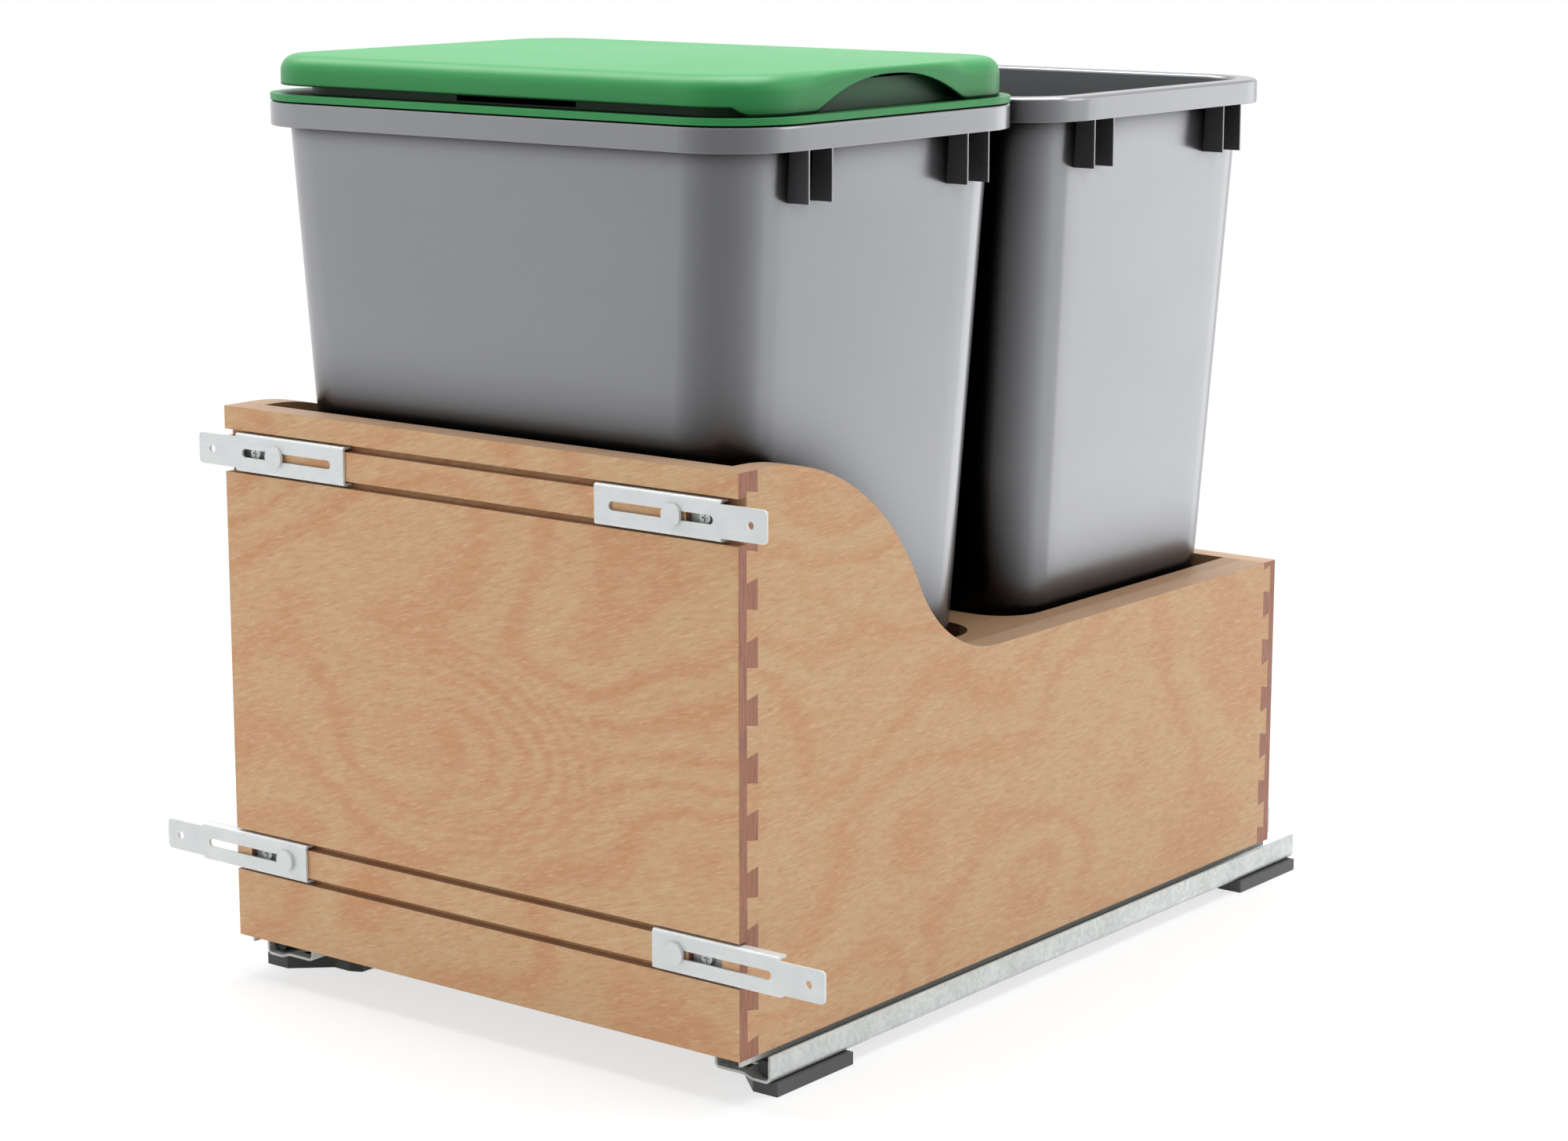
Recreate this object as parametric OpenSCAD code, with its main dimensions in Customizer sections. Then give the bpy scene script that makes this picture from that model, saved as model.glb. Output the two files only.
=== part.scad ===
// Pull-out bin frame: a dovetailed box on full-extension runners that carries two waste bins.
// X runs across, Y from the front (-) to the back (+), Z up from the cabinet floor.

/* [Box] */
// Outside width of the wooden box
box_w = 365; // [355:1:420]
// Outside depth of the wooden box
box_d = 534; // [532:1:580]
// Height of the front board
front_h = 306; // [280:1:340]
// Height of the low rear part of the box
rear_h = 179; // [160:1:200]
// Thickness of the front board
front_t = 15.5; // [14:0.5:18]
// Thickness of the side boards
side_t = 16; // [12:0.5:18]
// Thickness of the back board
back_t = 13; // [11:0.5:15]
// Level length of the side's top edge behind the front face
shoulder_l = 21; // [19:1:40]
// Radius of the side's upper, swelling curve
shoulder_r = 152; // [130:1:170]
// Radius of the side's lower, hollow curve
hollow_r = 85; // [70:1:110]

/* [Dovetails] */
// Distance from one tail to the next
tail_pitch = 30; // [24:1:40]
// Width of a tail at its wide end
tail_w = 17; // [15:0.5:20]
// Width of a tail at its neck
tail_neck = 13.6; // [10:0.2:14.6]
// Height of the lowest tail's middle above the box's bottom edge
first_tail_z = 17.7; // [14:0.1:22]
// Wood left in front of the front board's sockets
front_lap = 6.5; // [5.5:0.5:8]
// Wood left behind the back board's sockets
back_lap = 5.5; // [4:0.5:7]

/* [Floor and tray] */
// Thickness of the floor panel
floor_t = 12; // [9:0.5:15]
// Height of the floor panel's underside above the box's bottom edge
floor_rise = 9; // [6:0.5:14]
// Depth of the grooves that hold the floor panel
groove_depth = 6; // [3:0.5:7]
// Thickness of the bin tray
tray_t = 12; // [9:0.5:18]
// Room between a bin and its cut-out in the tray
cutout_gap = 5; // [3:0.5:7]
// Corner radius of the cut-outs
cutout_r = 27; // [15:1:35]
// Height of the battens under the tray
cleat_h = 18; // [15:1:30]

/* [Bins] */
// Height of a bin
bin_h = 454; // [420:1:480]
// Width of a bin's rim, across the box
rim_w = 357; // [350:1:364]
// Depth of a bin's rim, front to back
rim_d = 261; // [256:1:263]
// Corner radius of the rim
rim_r = 45; // [40:1:55]
// Height of the rim's skirt
rim_h = 14; // [10:1:20]
// Width of a bin's body just under the rim
bin_top_w = 333; // [325:1:338]
// Depth of a bin's body just under the rim
bin_top_d = 245; // [240:1:248]
// Width of a bin's body at its base
bin_base_w = 277; // [260:1:285]
// Depth of a bin's body at its base
bin_base_d = 217; // [205:1:218]
// Corner radius of a bin's body
bin_r = 37; // [32:1:42]
// Wall thickness of the bins
bin_wall = 2.5; // [2:0.1:3.5]
// Edge rounding at a bin's base
base_edge = 8; // [4:1:12]
// Distance of the front bin's middle behind the box's front face
front_bin_y = 142.7; // [141:0.1:144]
// Room between the rear bin and the back board
bin_back_gap = 1; // [0.5:0.1:2]
// Height of the fins under a bin's rim
fin_h = 27; // [20:1:40]
// Thickness of the fins
fin_t = 1.4; // [1:0.1:2.5]
// Distance of the inner fins from a bin's middle
fin_inner_y = 60; // [50:1:65]
// Distance from an inner fin to its outer neighbour
fin_pitch = 19.5; // [15:0.5:25]

/* [Lid] */
// Thickness of the lid's flange on the rim
lid_flange_t = 3.5; // [2.5:0.1:5]
// Depth of the collar that centres the lid in the bin
collar_depth = 11; // [8:1:20]
// Running room around the collar
collar_gap = 0.6; // [0.4:0.1:1]
// Height of the flap's top above the flange
flap_h = 21.5; // [19:0.5:24]
// Distance of the flap's edge inside the rim
flap_inset = 6; // [5:0.5:9]
// Wall thickness of the flap and of the upstand
lid_wall = 2.5; // [2:0.1:2.7]
// Rounding of the flap's top edge
flap_edge_r = 9; // [5:0.5:10]
// Gap between the flange and the flap's short skirts
flap_gap = 4.7; // [4.2:0.1:6]
// Gap under the skirt at the lifting end
flap_seat_gap = 0.3; // [0.3:0.1:1]
// Width of the finger arch
arch_w = 128; // [80:1:150]
// Height of the finger arch
arch_h = 16; // [10:0.5:16.5]
// Distance of the upstand inside the rim, along the sides
upstand_inset = 15; // [14:0.5:20]
// Distance of the upstand inside the rim, at the hinge end
upstand_hinge_inset = 26.4; // [26:0.2:34]
// Height of the upstand above the flange
upstand_h = 15; // [10:0.5:15.5]
// Width of the notch in the upstand
notch_w = 83; // [40:1:120]
// Distance of the hinge axis from the flap's end
hinge_in = 8.4; // [7.5:0.1:8.6]
// Height of the hinge axis above the flange
hinge_up = 11.5; // [11.2:0.1:13]
// Diameter of the hinge pins
hinge_pin_d = 4; // [3:0.1:5]
// Distance of the hinge arms from the bin's middle line
hinge_arm_y = 76; // [50:1:80]
// Width of a hinge arm and of a hinge knuckle
knuckle_w = 4.5; // [3:0.1:5]

/* [Door brackets] */
// Length of a bracket
bracket_l = 112; // [100:1:130]
// Length of a bracket's flanged part
bracket_wide_l = 83; // [80:1:90]
// Height of a bracket's flanged part
bracket_h = 21.6; // [20:0.2:24]
// Height of a bracket's tongue
tongue_h = 17.4; // [14:0.2:19]
// Corner radius of the tongue
tongue_r = 2.5; // [2:0.5:6]
// Thickness of a bracket's sheet
bracket_t = 1.5; // [1:0.1:2]
// Depth of a bracket's flanges
bracket_flange = 5; // [3:0.5:5.5]
// Length of the adjusting slot
slot_l = 68.4; // [60:0.2:72]
// Width of the adjusting slot
slot_w = 4.8; // [4.6:0.1:6]
// Distance of the slot from the bracket's inner end
slot_in = 9.7; // [8:0.1:11]
// Diameter of the door screw's hole in the tongue
door_hole_d = 4.5; // [3.5:0.1:6]
// Distance of that hole from the tongue's end
door_hole_in = 10.3; // [7:0.1:14]
// Height of the upper brackets above the box's bottom edge
upper_bracket_z = 281; // [250:1:290]
// Height of the lower brackets above the box's bottom edge
lower_bracket_z = 51; // [30:1:80]
// How far the upper brackets reach past the box's sides
upper_reach = 19; // [0:1:54]
// How far the lower brackets reach past the box's sides
lower_reach = 55.5; // [2:0.5:55.5]
// Width of the kerfs that the flanges run in
kerf_w = 4; // [2.1:0.1:4.4]
// Running room behind and in front of a bracket
bracket_gap = 0.2; // [0.1:0.05:0.5]
// Distance of the studs from the box's sides
stud_in = 41; // [38:0.5:44]
// Diameter of a stud's head
stud_head_d = 12; // [8:0.5:14]
// Thickness of a stud's head
stud_head_t = 2; // [1.5:0.1:3]
// Diameter of a stud's shank
stud_d = 4.2; // [3.5:0.1:4.2]
// Distance of the lock screws from the box's sides
lock_in = 22.5; // [22:0.5:24]
// Width of the pockets around the lock screws
pocket_w = 22; // [20:0.5:24]
// Height of the pockets
pocket_h = 13; // [11:0.5:14]
// Depth of the pockets
pocket_depth = 5; // [4.5:0.1:5.2]

/* [Runners] */
// Thickness of the spacers under the rails
spacer_t = 7; // [5:0.5:12]
// Length of a spacer
spacer_l = 66; // [60:1:80]
// Reach of a spacer, across the box
spacer_w = 55; // [53:1:70]
// How far the spacers stand out past the rails
spacer_lip = 2.5; // [1:0.5:6]
// Distance of the front spacers behind the box's front face
spacer_y = 25.5; // [24:0.5:40]
// Diameter of the cabinet screw's hole in a spacer
spacer_hole_d = 5; // [4:0.1:6]
// Distance of that hole from the spacer's inner end
spacer_hole_in = 9; // [7:0.5:10]
// Thickness of the cabinet and drawer rails
steel_t = 1.5; // [1.2:0.1:2]
// Thickness of the middle rails
middle_t = 1.2; // [1:0.1:1.6]
// Outside radius of the rails' bends
bend_r = 3.5; // [3:0.1:4.5]
// Width of a cabinet rail
rail_w = 37; // [36.5:0.1:40]
// How far the cabinet rails stand out past the box's sides
rail_out = 2; // [1:0.5:4]
// Height of a cabinet rail's outer flange
rail_flange_h = 15; // [12:0.5:17]
// Height of a cabinet rail's inner flange
rail_inner_h = 9; // [7:0.5:9.5]
// Length of a cabinet rail
rail_l = 540; // [535:1:560]
// Distance of the cabinet rails behind the box's front face
rail_y = 23; // [18:1:26]
// Rise from a cabinet rail's outer trough to its roller bed
bed_rise = 2; // [1:0.1:4]
// Diameter of the rollers
roller_d = 4; // [3.5:0.1:5]
// Running room above and below the rollers
roller_gap = 0.3; // [0.2:0.05:0.5]
// Length of the rollers
roller_l = 9; // [6:0.5:9.5]
// Rollers in a cage
roller_count = 8; // [4:1:12]
// Length of a roller cage
cage_l = 200; // [160:1:220]
// Thickness of a roller cage
cage_t = 1; // [0.8:0.1:1.6]
// Distance of the roller cages behind the box's front face
cage_y = 185; // [182:1:185]
// Length of a middle rail
middle_l = 480; // [460:1:500]
// Distance of the middle rails behind the box's front face
middle_y = 30; // [28:1:40]
// Rise from a drawer rail's roller web to its top flange
drawer_rail_rise = 2.6; // [2.2:0.1:6]
// Distance of the drawer rails' flanges behind the box's front face
drawer_rail_y = 6; // [4:0.5:15]
// Height of the skirt along the outer edge of a drawer rail
drawer_skirt_h = 5; // [3:0.5:6]
// Diameter of a soft-close damper
damper_d = 9; // [7:0.5:9]
// Length of a soft-close damper
damper_l = 120; // [80:1:160]
// Width of the tab at a drawer rail's rear end
tab_w = 17; // [14:0.5:18]
// Height of that tab
tab_h = 16; // [12:0.5:24]
// Height of that tab's foot above the box's bottom edge
tab_z = 4.4; // [2:0.2:8]

/* [Screws] */
// Head diameter of the wood screws
screw_head_d = 7; // [6:0.1:7.4]
// Head height of the wood screws
screw_head_h = 2.2; // [1.8:0.1:2.4]
// Shank diameter of the wood screws
screw_d = 3.5; // [3:0.1:4]
// Room around a screw's shank in its hole
screw_gap = 0.05; // [0.02:0.01:0.1]

/* [Hidden] */
$fn = 64;
// Overlap that keeps a cut clear of the face that it opens
cut = 1;
// Sides of the rounded corners that are blended into shells
blend_fn = 32;

wood = "#CBA27A";
zinc = "#D3D8D9";
galvanised = "#BFC5C6";
dark_plastic = "#555856";
black_plastic = "#2A2B2C";
bin_grey = "#A3A4A7";
lid_green = "#5FB47C";

// Levels of the runner's parts above the rail's foot
bed_v = bed_rise + steel_t;
roller_room = roller_d + 2 * roller_gap;
middle_v = bed_v + roller_room;
upper_v = middle_v + middle_t;
drawer_web_v = upper_v + roller_room;
runner_h = drawer_web_v + steel_t + drawer_rail_rise;

// Places of the runner's parts, inward from the cabinet rail's outer face
trough_w = 12;
step_slope = 3;
bed_u = trough_w + step_slope * bed_rise;
roller_inset = 2;
roller_u = bed_u + roller_inset;
slide_play = 0.5;
middle_u = bed_u - slide_play;
middle_w = 15;
cage_margin = 1.5;
cage_inset = 0.6;
upper_cage_u = middle_u + middle_t + cage_inset;
upper_cage_w = middle_w - 2 * (middle_t + cage_inset);
upper_roller_u = middle_u + (middle_w - roller_l) / 2;
drawer_web_u = bed_u;
drawer_lip_u = middle_u + middle_w + slide_play;
flange_inset = 4;
drawer_flange_u = rail_out + flange_inset;
rail_screw_u = drawer_flange_u + (bed_u - drawer_flange_u) / 2;
damper_u = steel_t + damper_d / 2 + slide_play;

// Levels and places of the box
rail_x = box_w / 2 + rail_out;
box_z = spacer_t + runner_h;
inner_x = box_w / 2 - side_t;
back_y = box_d - back_t;
floor_z = box_z + floor_rise;
bin_z = floor_z + floor_t;
tray_z = box_z + rear_h - tray_t;
rim_z = bin_z + bin_h;

// The part's origin is under the middle of its length
stud_front = 2 * bracket_gap + bracket_t + stud_head_t;
front_y = -(rail_y + rail_l - stud_front) / 2;

// Half sizes of a bin's body at a height above its base
function bin_half_w(h) = (bin_base_w + (bin_top_w - bin_base_w) * h / (bin_h - rim_h)) / 2;
function bin_half_d(h) = (bin_base_d + (bin_top_d - bin_base_d) * h / (bin_h - rim_h)) / 2;
tray_level = box_z + rear_h - bin_z;
cutout_w = 2 * (bin_half_w(tray_level) + cutout_gap);
cutout_d = 2 * (bin_half_d(tray_level) + cutout_gap);
rear_bin_y = back_y - bin_back_gap - bin_half_d(tray_level);
rear_cutout_y = rear_bin_y - cutout_d / 2;
cleat_w = inner_x - cutout_w / 2;

// Middles of the side's two curves and the point where they meet
curve_rise = shoulder_r + hollow_r - (front_h - rear_h);
curve_run = sqrt(pow(shoulder_r + hollow_r, 2) - pow(curve_rise, 2));
shoulder_mid = [shoulder_l, front_h - shoulder_r];
hollow_mid = [shoulder_l + curve_run, rear_h + hollow_r];
meeting = shoulder_mid + (hollow_mid - shoulder_mid) * shoulder_r / (shoulder_r + hollow_r);

// Screws of the box and its runners
inside_d = back_y - front_t;
rail_screw_end = 45;
rail_screw_ys = [for (i = [0:3]) front_t + rail_screw_end + i * (inside_d - 2 * rail_screw_end) / 3];
cleat_screw_end = 60;
cleat_ys = [for (i = [0:2]) front_t + cleat_screw_end + i * (inside_d - 2 * cleat_screw_end) / 2];
tray_screw_step = 25;
rail_screw_l = 6.5;
cleat_screw_bite = 10;
cleat_screw_l = cleat_w + cleat_screw_bite;
tray_screw_bite = 7;
tray_screw_l = cleat_h + tray_screw_bite;
// A tray screw takes up to a third of the batten's width
tray_screw_d = min(screw_d, cleat_w / 3);
tray_screw_head_d = screw_head_d * tray_screw_d / screw_d;
lock_screw_l = 8;
tab_screw_l = 4.5;
tip_room = 0.5;
stud_l = 10;
clamp_t = 1.5;
tab_play = 0.3;
tab_in = 0.2;
tab_mid = box_w / 2 - tab_in - tab_w / 2;
tab_screw_down = 6;
tail_top_room = 2;
kerf_floor = 0.5;
bracket_bend_in = 0.3;
bracket_bend_r = bracket_t + bracket_bend_in;

// Lid levels
flange_z = rim_z + lid_flange_t;
flap_w = rim_w - 2 * flap_inset;
flap_d = rim_d - 2 * flap_inset;
flap_r = rim_r - flap_inset;
hinge_x = -flap_w / 2 + hinge_in;
hinge_z = flange_z + hinge_up;
hinge_gap = 0.05;
knuckle_gap = 0.4;
knuckle_wall = 2;
knuckle_d = hinge_pin_d + 2 * knuckle_wall;
upstand_r = rim_r - upstand_inset;
upstand_x0 = -rim_w / 2 + upstand_hinge_inset;
upstand_x1 = rim_w / 2 - upstand_inset;
upstand_half_d = rim_d / 2 - upstand_inset;

// Spacers
spacer_x = rail_x + spacer_lip;
spacer_hole_x = spacer_x - spacer_w + spacer_hole_in;
rear_spacer_y = rail_y + rail_l - spacer_l - (spacer_y - rail_y);
spacer_screw_in = 12;
spacer_screw_x = rail_x - bed_u - spacer_screw_in;

// Shared shapes

// Places children in the box's own frame: Y from the box's front face
module in_box() {
  translate([0, front_y, 0]) children();
}

module on_left() {
  mirror([1, 0, 0]) children();
}

module both_sides() {
  children();
  on_left() children();
}

// A rectangle with round corners, about its middle
module round_rect(w, d, r) {
  square([w - 2 * r, d], center = true);
  square([w, d - 2 * r], center = true);
  for (x = [-1, 1], y = [-1, 1])
    translate([x * (w / 2 - r), y * (d / 2 - r)]) circle(r);
}

// A rectangle between two corners
module rect(x0, y0, x1, y1) {
  translate([x0, y0]) square([x1 - x0, y1 - y0]);
}

// A box between two corners
module block(low, high) {
  translate(low) cube(high - low);
}

// A quarter of a bent sheet's ring, in the quadrant that the signs give
module bend(r, t, sx, sy) {
  intersection() {
    difference() {
      circle(r);
      circle(r - t);
    }
    translate([sx > 0 ? 0 : -r, sy > 0 ? 0 : -r]) square(r);
  }
}

// Runs a section, drawn inward and upward from a rail's outer foot, along Y
module along_rail(y0, length) {
  translate([rail_x, y0 + length, spacer_t]) rotate([90, 0, 0])
    linear_extrude(length) mirror([1, 0]) children();
}

// A screw along Z: its head's underside is at 0 and its point is up
module screw(length, d = screw_d, head_d = screw_head_d, head_h = screw_head_h) {
  recess_l = head_d * 0.6;
  recess_w = head_d * 0.14;
  recess_depth = head_h * 0.55;
  difference() {
    union() {
      translate([0, 0, -head_h]) cylinder(d = head_d, h = head_h);
      cylinder(d = d, h = length);
    }
    for (a = [0, 90])
      rotate([0, 0, a]) translate([-recess_l / 2, -recess_w / 2, -head_h - cut])
        cube([recess_l, recess_w, recess_depth + cut]);
  }
}

// The hole for a screw's shank
module screw_hole(length, d = screw_d) {
  translate([0, 0, -cut]) cylinder(d = d + 2 * screw_gap, h = length + cut + tip_room);
}

// Places of the fasteners

module at_rail_screws() {
  for (y = rail_screw_ys)
    translate([rail_x - rail_screw_u, y, box_z - steel_t]) children();
}

module at_cleat_screws() {
  for (y = cleat_ys)
    translate([inner_x - cleat_w, y, tray_z - cleat_h / 2]) rotate([0, 90, 0]) children();
}

module at_tray_screws() {
  for (y = cleat_ys)
    translate([inner_x - cleat_w / 2, y + tray_screw_step, tray_z - cleat_h]) children();
}

module at_tab_screws() {
  translate([tab_mid, box_d + tab_play + steel_t, box_z + tab_z + tab_h - tab_screw_down])
    rotate([90, 0, 0]) children();
}

// The screws that hold a rail to its spacers
module at_spacer_screws() {
  for (y = [spacer_y + spacer_l / 2, rear_spacer_y + spacer_l / 2])
    translate([spacer_screw_x, y, spacer_t + bed_v]) rotate([180, 0, 0]) children();
}

module at_bracket_rows() {
  for (z = [lower_bracket_z, upper_bracket_z]) translate([0, 0, box_z + z]) children();
}

module at_lock_screws() {
  at_bracket_rows()
    translate([box_w / 2 - lock_in, pocket_depth - clamp_t, 0]) rotate([-90, 0, 0]) children();
}

// The tails of a side board, from their shoulder line along -Y
module tails(shoulder_y, depth, height, direction) {
  count = floor((height - first_tail_z - tail_w / 2 - tail_top_room) / tail_pitch) + 1;
  for (i = [0:count - 1])
    translate([inner_x, shoulder_y, box_z + first_tail_z + i * tail_pitch])
      rotate([90, 0, 90]) linear_extrude(side_t)
        polygon([
          [-direction * cut, -tail_neck / 2], [0, -tail_neck / 2], [direction * depth, -tail_w / 2],
          [direction * depth, tail_w / 2], [0, tail_neck / 2], [-direction * cut, tail_neck / 2]
        ]);
}

module front_tails() {
  tails(front_t, front_t - front_lap, front_h, -1);
}

module back_tails() {
  tails(back_y, back_t - back_lap, rear_h, 1);
}

// The outline of a side board between its shoulder lines, Y then Z
module side_outline() {
  rect(front_t, 0, shoulder_l, front_h);
  rect(shoulder_l, 0, meeting[0], shoulder_mid[1]);
  intersection() {
    translate(shoulder_mid) circle(shoulder_r, $fn = 180);
    rect(shoulder_l, shoulder_mid[1], meeting[0], front_h + cut);
  }
  difference() {
    rect(meeting[0], 0, hollow_mid[0], hollow_mid[1]);
    translate(hollow_mid) circle(hollow_r, $fn = 180);
  }
  rect(hollow_mid[0], 0, back_y, rear_h);
}

// The box

module front_panel() {
  color(wood) in_box() difference() {
    block([-box_w / 2, 0, box_z], [box_w / 2, front_t, box_z + front_h]);
    both_sides() front_tails();
    block([-inner_x, front_t - groove_depth, floor_z], [inner_x, front_t + cut, bin_z]);
    at_bracket_rows() for (z = [-1, 1])
      translate([0, 0, z * (bracket_h - bracket_t) / 2])
        block(
          [-box_w / 2 - cut, -cut, -kerf_w / 2],
          [box_w / 2 + cut, front_lap - kerf_floor, kerf_w / 2]
        );
    both_sides() {
      at_bracket_rows() translate([box_w / 2 - lock_in, 0, 0])
        block([-pocket_w / 2, -cut, -pocket_h / 2], [pocket_w / 2, pocket_depth, pocket_h / 2]);
      at_lock_screws() screw_hole(lock_screw_l);
      at_bracket_rows() translate([box_w / 2 - stud_in, -cut, 0]) rotate([-90, 0, 0])
        cylinder(d = stud_d + 2 * screw_gap, h = stud_l + cut + tip_room);
    }
  }
}

module side_panel() {
  color(wood) in_box() difference() {
    union() {
      translate([inner_x, 0, box_z]) rotate([90, 0, 90]) linear_extrude(side_t) side_outline();
      front_tails();
      back_tails();
    }
    block([inner_x - cut, front_t, floor_z], [inner_x + groove_depth, back_y, bin_z]);
    at_rail_screws() screw_hole(rail_screw_l);
    at_cleat_screws() screw_hole(cleat_screw_l);
  }
}

module left_side_panel() {
  on_left() side_panel();
}

module right_side_panel() {
  side_panel();
}

module back_panel() {
  color(wood) in_box() difference() {
    block([-box_w / 2, back_y, box_z], [box_w / 2, box_d, box_z + rear_h]);
    both_sides() {
      back_tails();
      at_tab_screws() screw_hole(tab_screw_l);
    }
    block([-inner_x, back_y - cut, floor_z], [inner_x, back_y + groove_depth, bin_z]);
  }
}

module floor_panel() {
  color(wood) in_box() {
    block([-inner_x - groove_depth, front_t, floor_z], [inner_x + groove_depth, back_y, bin_z]);
    block([-inner_x, front_t - groove_depth, floor_z], [inner_x, back_y + groove_depth, bin_z]);
  }
}

module bin_tray() {
  color(wood) in_box() difference() {
    block([-inner_x, front_t, tray_z], [inner_x, back_y, tray_z + tray_t]);
    translate([0, front_bin_y, tray_z - cut]) linear_extrude(tray_t + 2 * cut)
      round_rect(cutout_w, cutout_d, cutout_r);
    translate([0, 0, tray_z - cut]) linear_extrude(tray_t + 2 * cut) {
      translate([0, rear_bin_y]) round_rect(cutout_w, cutout_d, cutout_r);
      rect(-cutout_w / 2, rear_bin_y, cutout_w / 2, back_y + cut);
    }
    both_sides() at_tray_screws() screw_hole(tray_screw_l, tray_screw_d);
  }
}

module tray_cleat() {
  color(wood) in_box() difference() {
    block([inner_x - cleat_w, front_t, tray_z - cleat_h], [inner_x, back_y, tray_z]);
    at_cleat_screws() screw_hole(cleat_screw_l);
    at_tray_screws() screw_hole(tray_screw_l, tray_screw_d);
  }
}

module left_tray_cleat() {
  on_left() tray_cleat();
}

module right_tray_cleat() {
  tray_cleat();
}

module tray_screws() {
  color(zinc) in_box() both_sides() at_tray_screws()
    screw(tray_screw_l, tray_screw_d, tray_screw_head_d);
}

module cleat_screws() {
  color(zinc) in_box() both_sides() at_cleat_screws() screw(cleat_screw_l);
}

// The door brackets

module bracket_section() {
  flange_end = bracket_flange + bracket_t;
  half = bracket_h / 2;
  flat = half - bracket_bend_r;
  rect(0, -flat, bracket_t, flat);
  rect(bracket_bend_r, half - bracket_t, flange_end, half);
  rect(bracket_bend_r, -half, flange_end, bracket_t - half);
  for (side = [-1, 1])
    translate([bracket_bend_r, side * flat]) bend(bracket_bend_r, bracket_t, -1, side);
}

// A right-hand bracket, with its inner end at X 0 and its back on the board's face
module bracket() {
  tongue_root = 3.5;
  tongue_start = bracket_wide_l - tongue_root;
  slot_start = slot_in + slot_w / 2;
  slot_end = slot_in + slot_l - slot_w / 2;
  difference() {
    union() {
      rotate([90, 0, 90]) linear_extrude(bracket_wide_l)
        translate([-bracket_t, 0]) bracket_section();
      rotate([90, 0, 0]) linear_extrude(bracket_t) {
        rect(tongue_start, -tongue_h / 2, bracket_l - tongue_r, tongue_h / 2);
        rect(tongue_start, -tongue_h / 2 + tongue_r, bracket_l, tongue_h / 2 - tongue_r);
        for (z = [-1, 1])
          translate([bracket_l - tongue_r, z * (tongue_h / 2 - tongue_r)]) circle(tongue_r);
      }
    }
    block([slot_start, -bracket_t - cut, -slot_w / 2], [slot_end, cut, slot_w / 2]);
    for (x = [slot_start, slot_end])
      translate([x, cut, 0]) rotate([90, 0, 0]) cylinder(d = slot_w, h = bracket_t + 2 * cut);
    translate([bracket_l - door_hole_in, cut, 0]) rotate([90, 0, 0])
      cylinder(d = door_hole_d, h = bracket_t + 2 * cut);
  }
}

module placed_bracket(z, reach) {
  color(zinc) in_box()
    translate([box_w / 2 + reach - bracket_l, -bracket_gap, box_z + z]) bracket();
}

module upper_left_bracket() {
  on_left() placed_bracket(upper_bracket_z, upper_reach);
}

module upper_right_bracket() {
  placed_bracket(upper_bracket_z, upper_reach);
}

module lower_left_bracket() {
  on_left() placed_bracket(lower_bracket_z, lower_reach);
}

module lower_right_bracket() {
  placed_bracket(lower_bracket_z, lower_reach);
}

module bracket_studs() {
  head_back = -2 * bracket_gap - bracket_t;
  color(zinc) in_box() both_sides() at_bracket_rows()
    translate([box_w / 2 - stud_in, head_back, 0]) rotate([-90, 0, 0]) {
      translate([0, 0, -stud_head_t]) cylinder(d = stud_head_d, h = stud_head_t);
      cylinder(d = stud_d, h = stud_l - head_back);
    }
}

module bracket_clamps() {
  clamp_play = 0.3;
  clamp_w = pocket_w - 2 * clamp_play;
  clamp_h = pocket_h - 2 * clamp_play;
  color(galvanised) in_box() both_sides() at_lock_screws() difference() {
    translate([-clamp_w / 2, -clamp_h / 2, 0]) cube([clamp_w, clamp_h, clamp_t]);
    screw_hole(clamp_t + cut);
  }
}

module bracket_lock_screws() {
  color(zinc) in_box() both_sides() at_lock_screws() screw(lock_screw_l);
}

// The runners

module cabinet_rail_section() {
  rect(0, bend_r, steel_t, rail_flange_h);
  translate([bend_r, bend_r]) bend(bend_r, steel_t, -1, -1);
  rect(bend_r, 0, trough_w, steel_t);
  polygon([[trough_w, 0], [bed_u, bed_rise], [bed_u, bed_v], [trough_w, steel_t]]);
  rect(bed_u, bed_rise, rail_w - bend_r, bed_v);
  translate([rail_w - bend_r, bed_rise + bend_r]) bend(bend_r, steel_t, 1, -1);
  rect(rail_w - steel_t, bed_rise + bend_r, rail_w, rail_inner_h);
}

module cabinet_rail() {
  window_w = 8;
  window_l = 10;
  window_back = 6;
  window_side = 2;
  window_y = rail_y + window_back;
  window_x = rail_x - bed_u - window_w - window_side;
  color(galvanised) in_box() difference() {
    along_rail(rail_y, rail_l) cabinet_rail_section();
    at_spacer_screws() screw_hole(steel_t + cut);
    translate([window_x, window_y, spacer_t]) cube([window_w, window_l, bed_v + cut]);
  }
}

module left_cabinet_rail() {
  on_left() cabinet_rail();
}

module right_cabinet_rail() {
  cabinet_rail();
}

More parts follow.
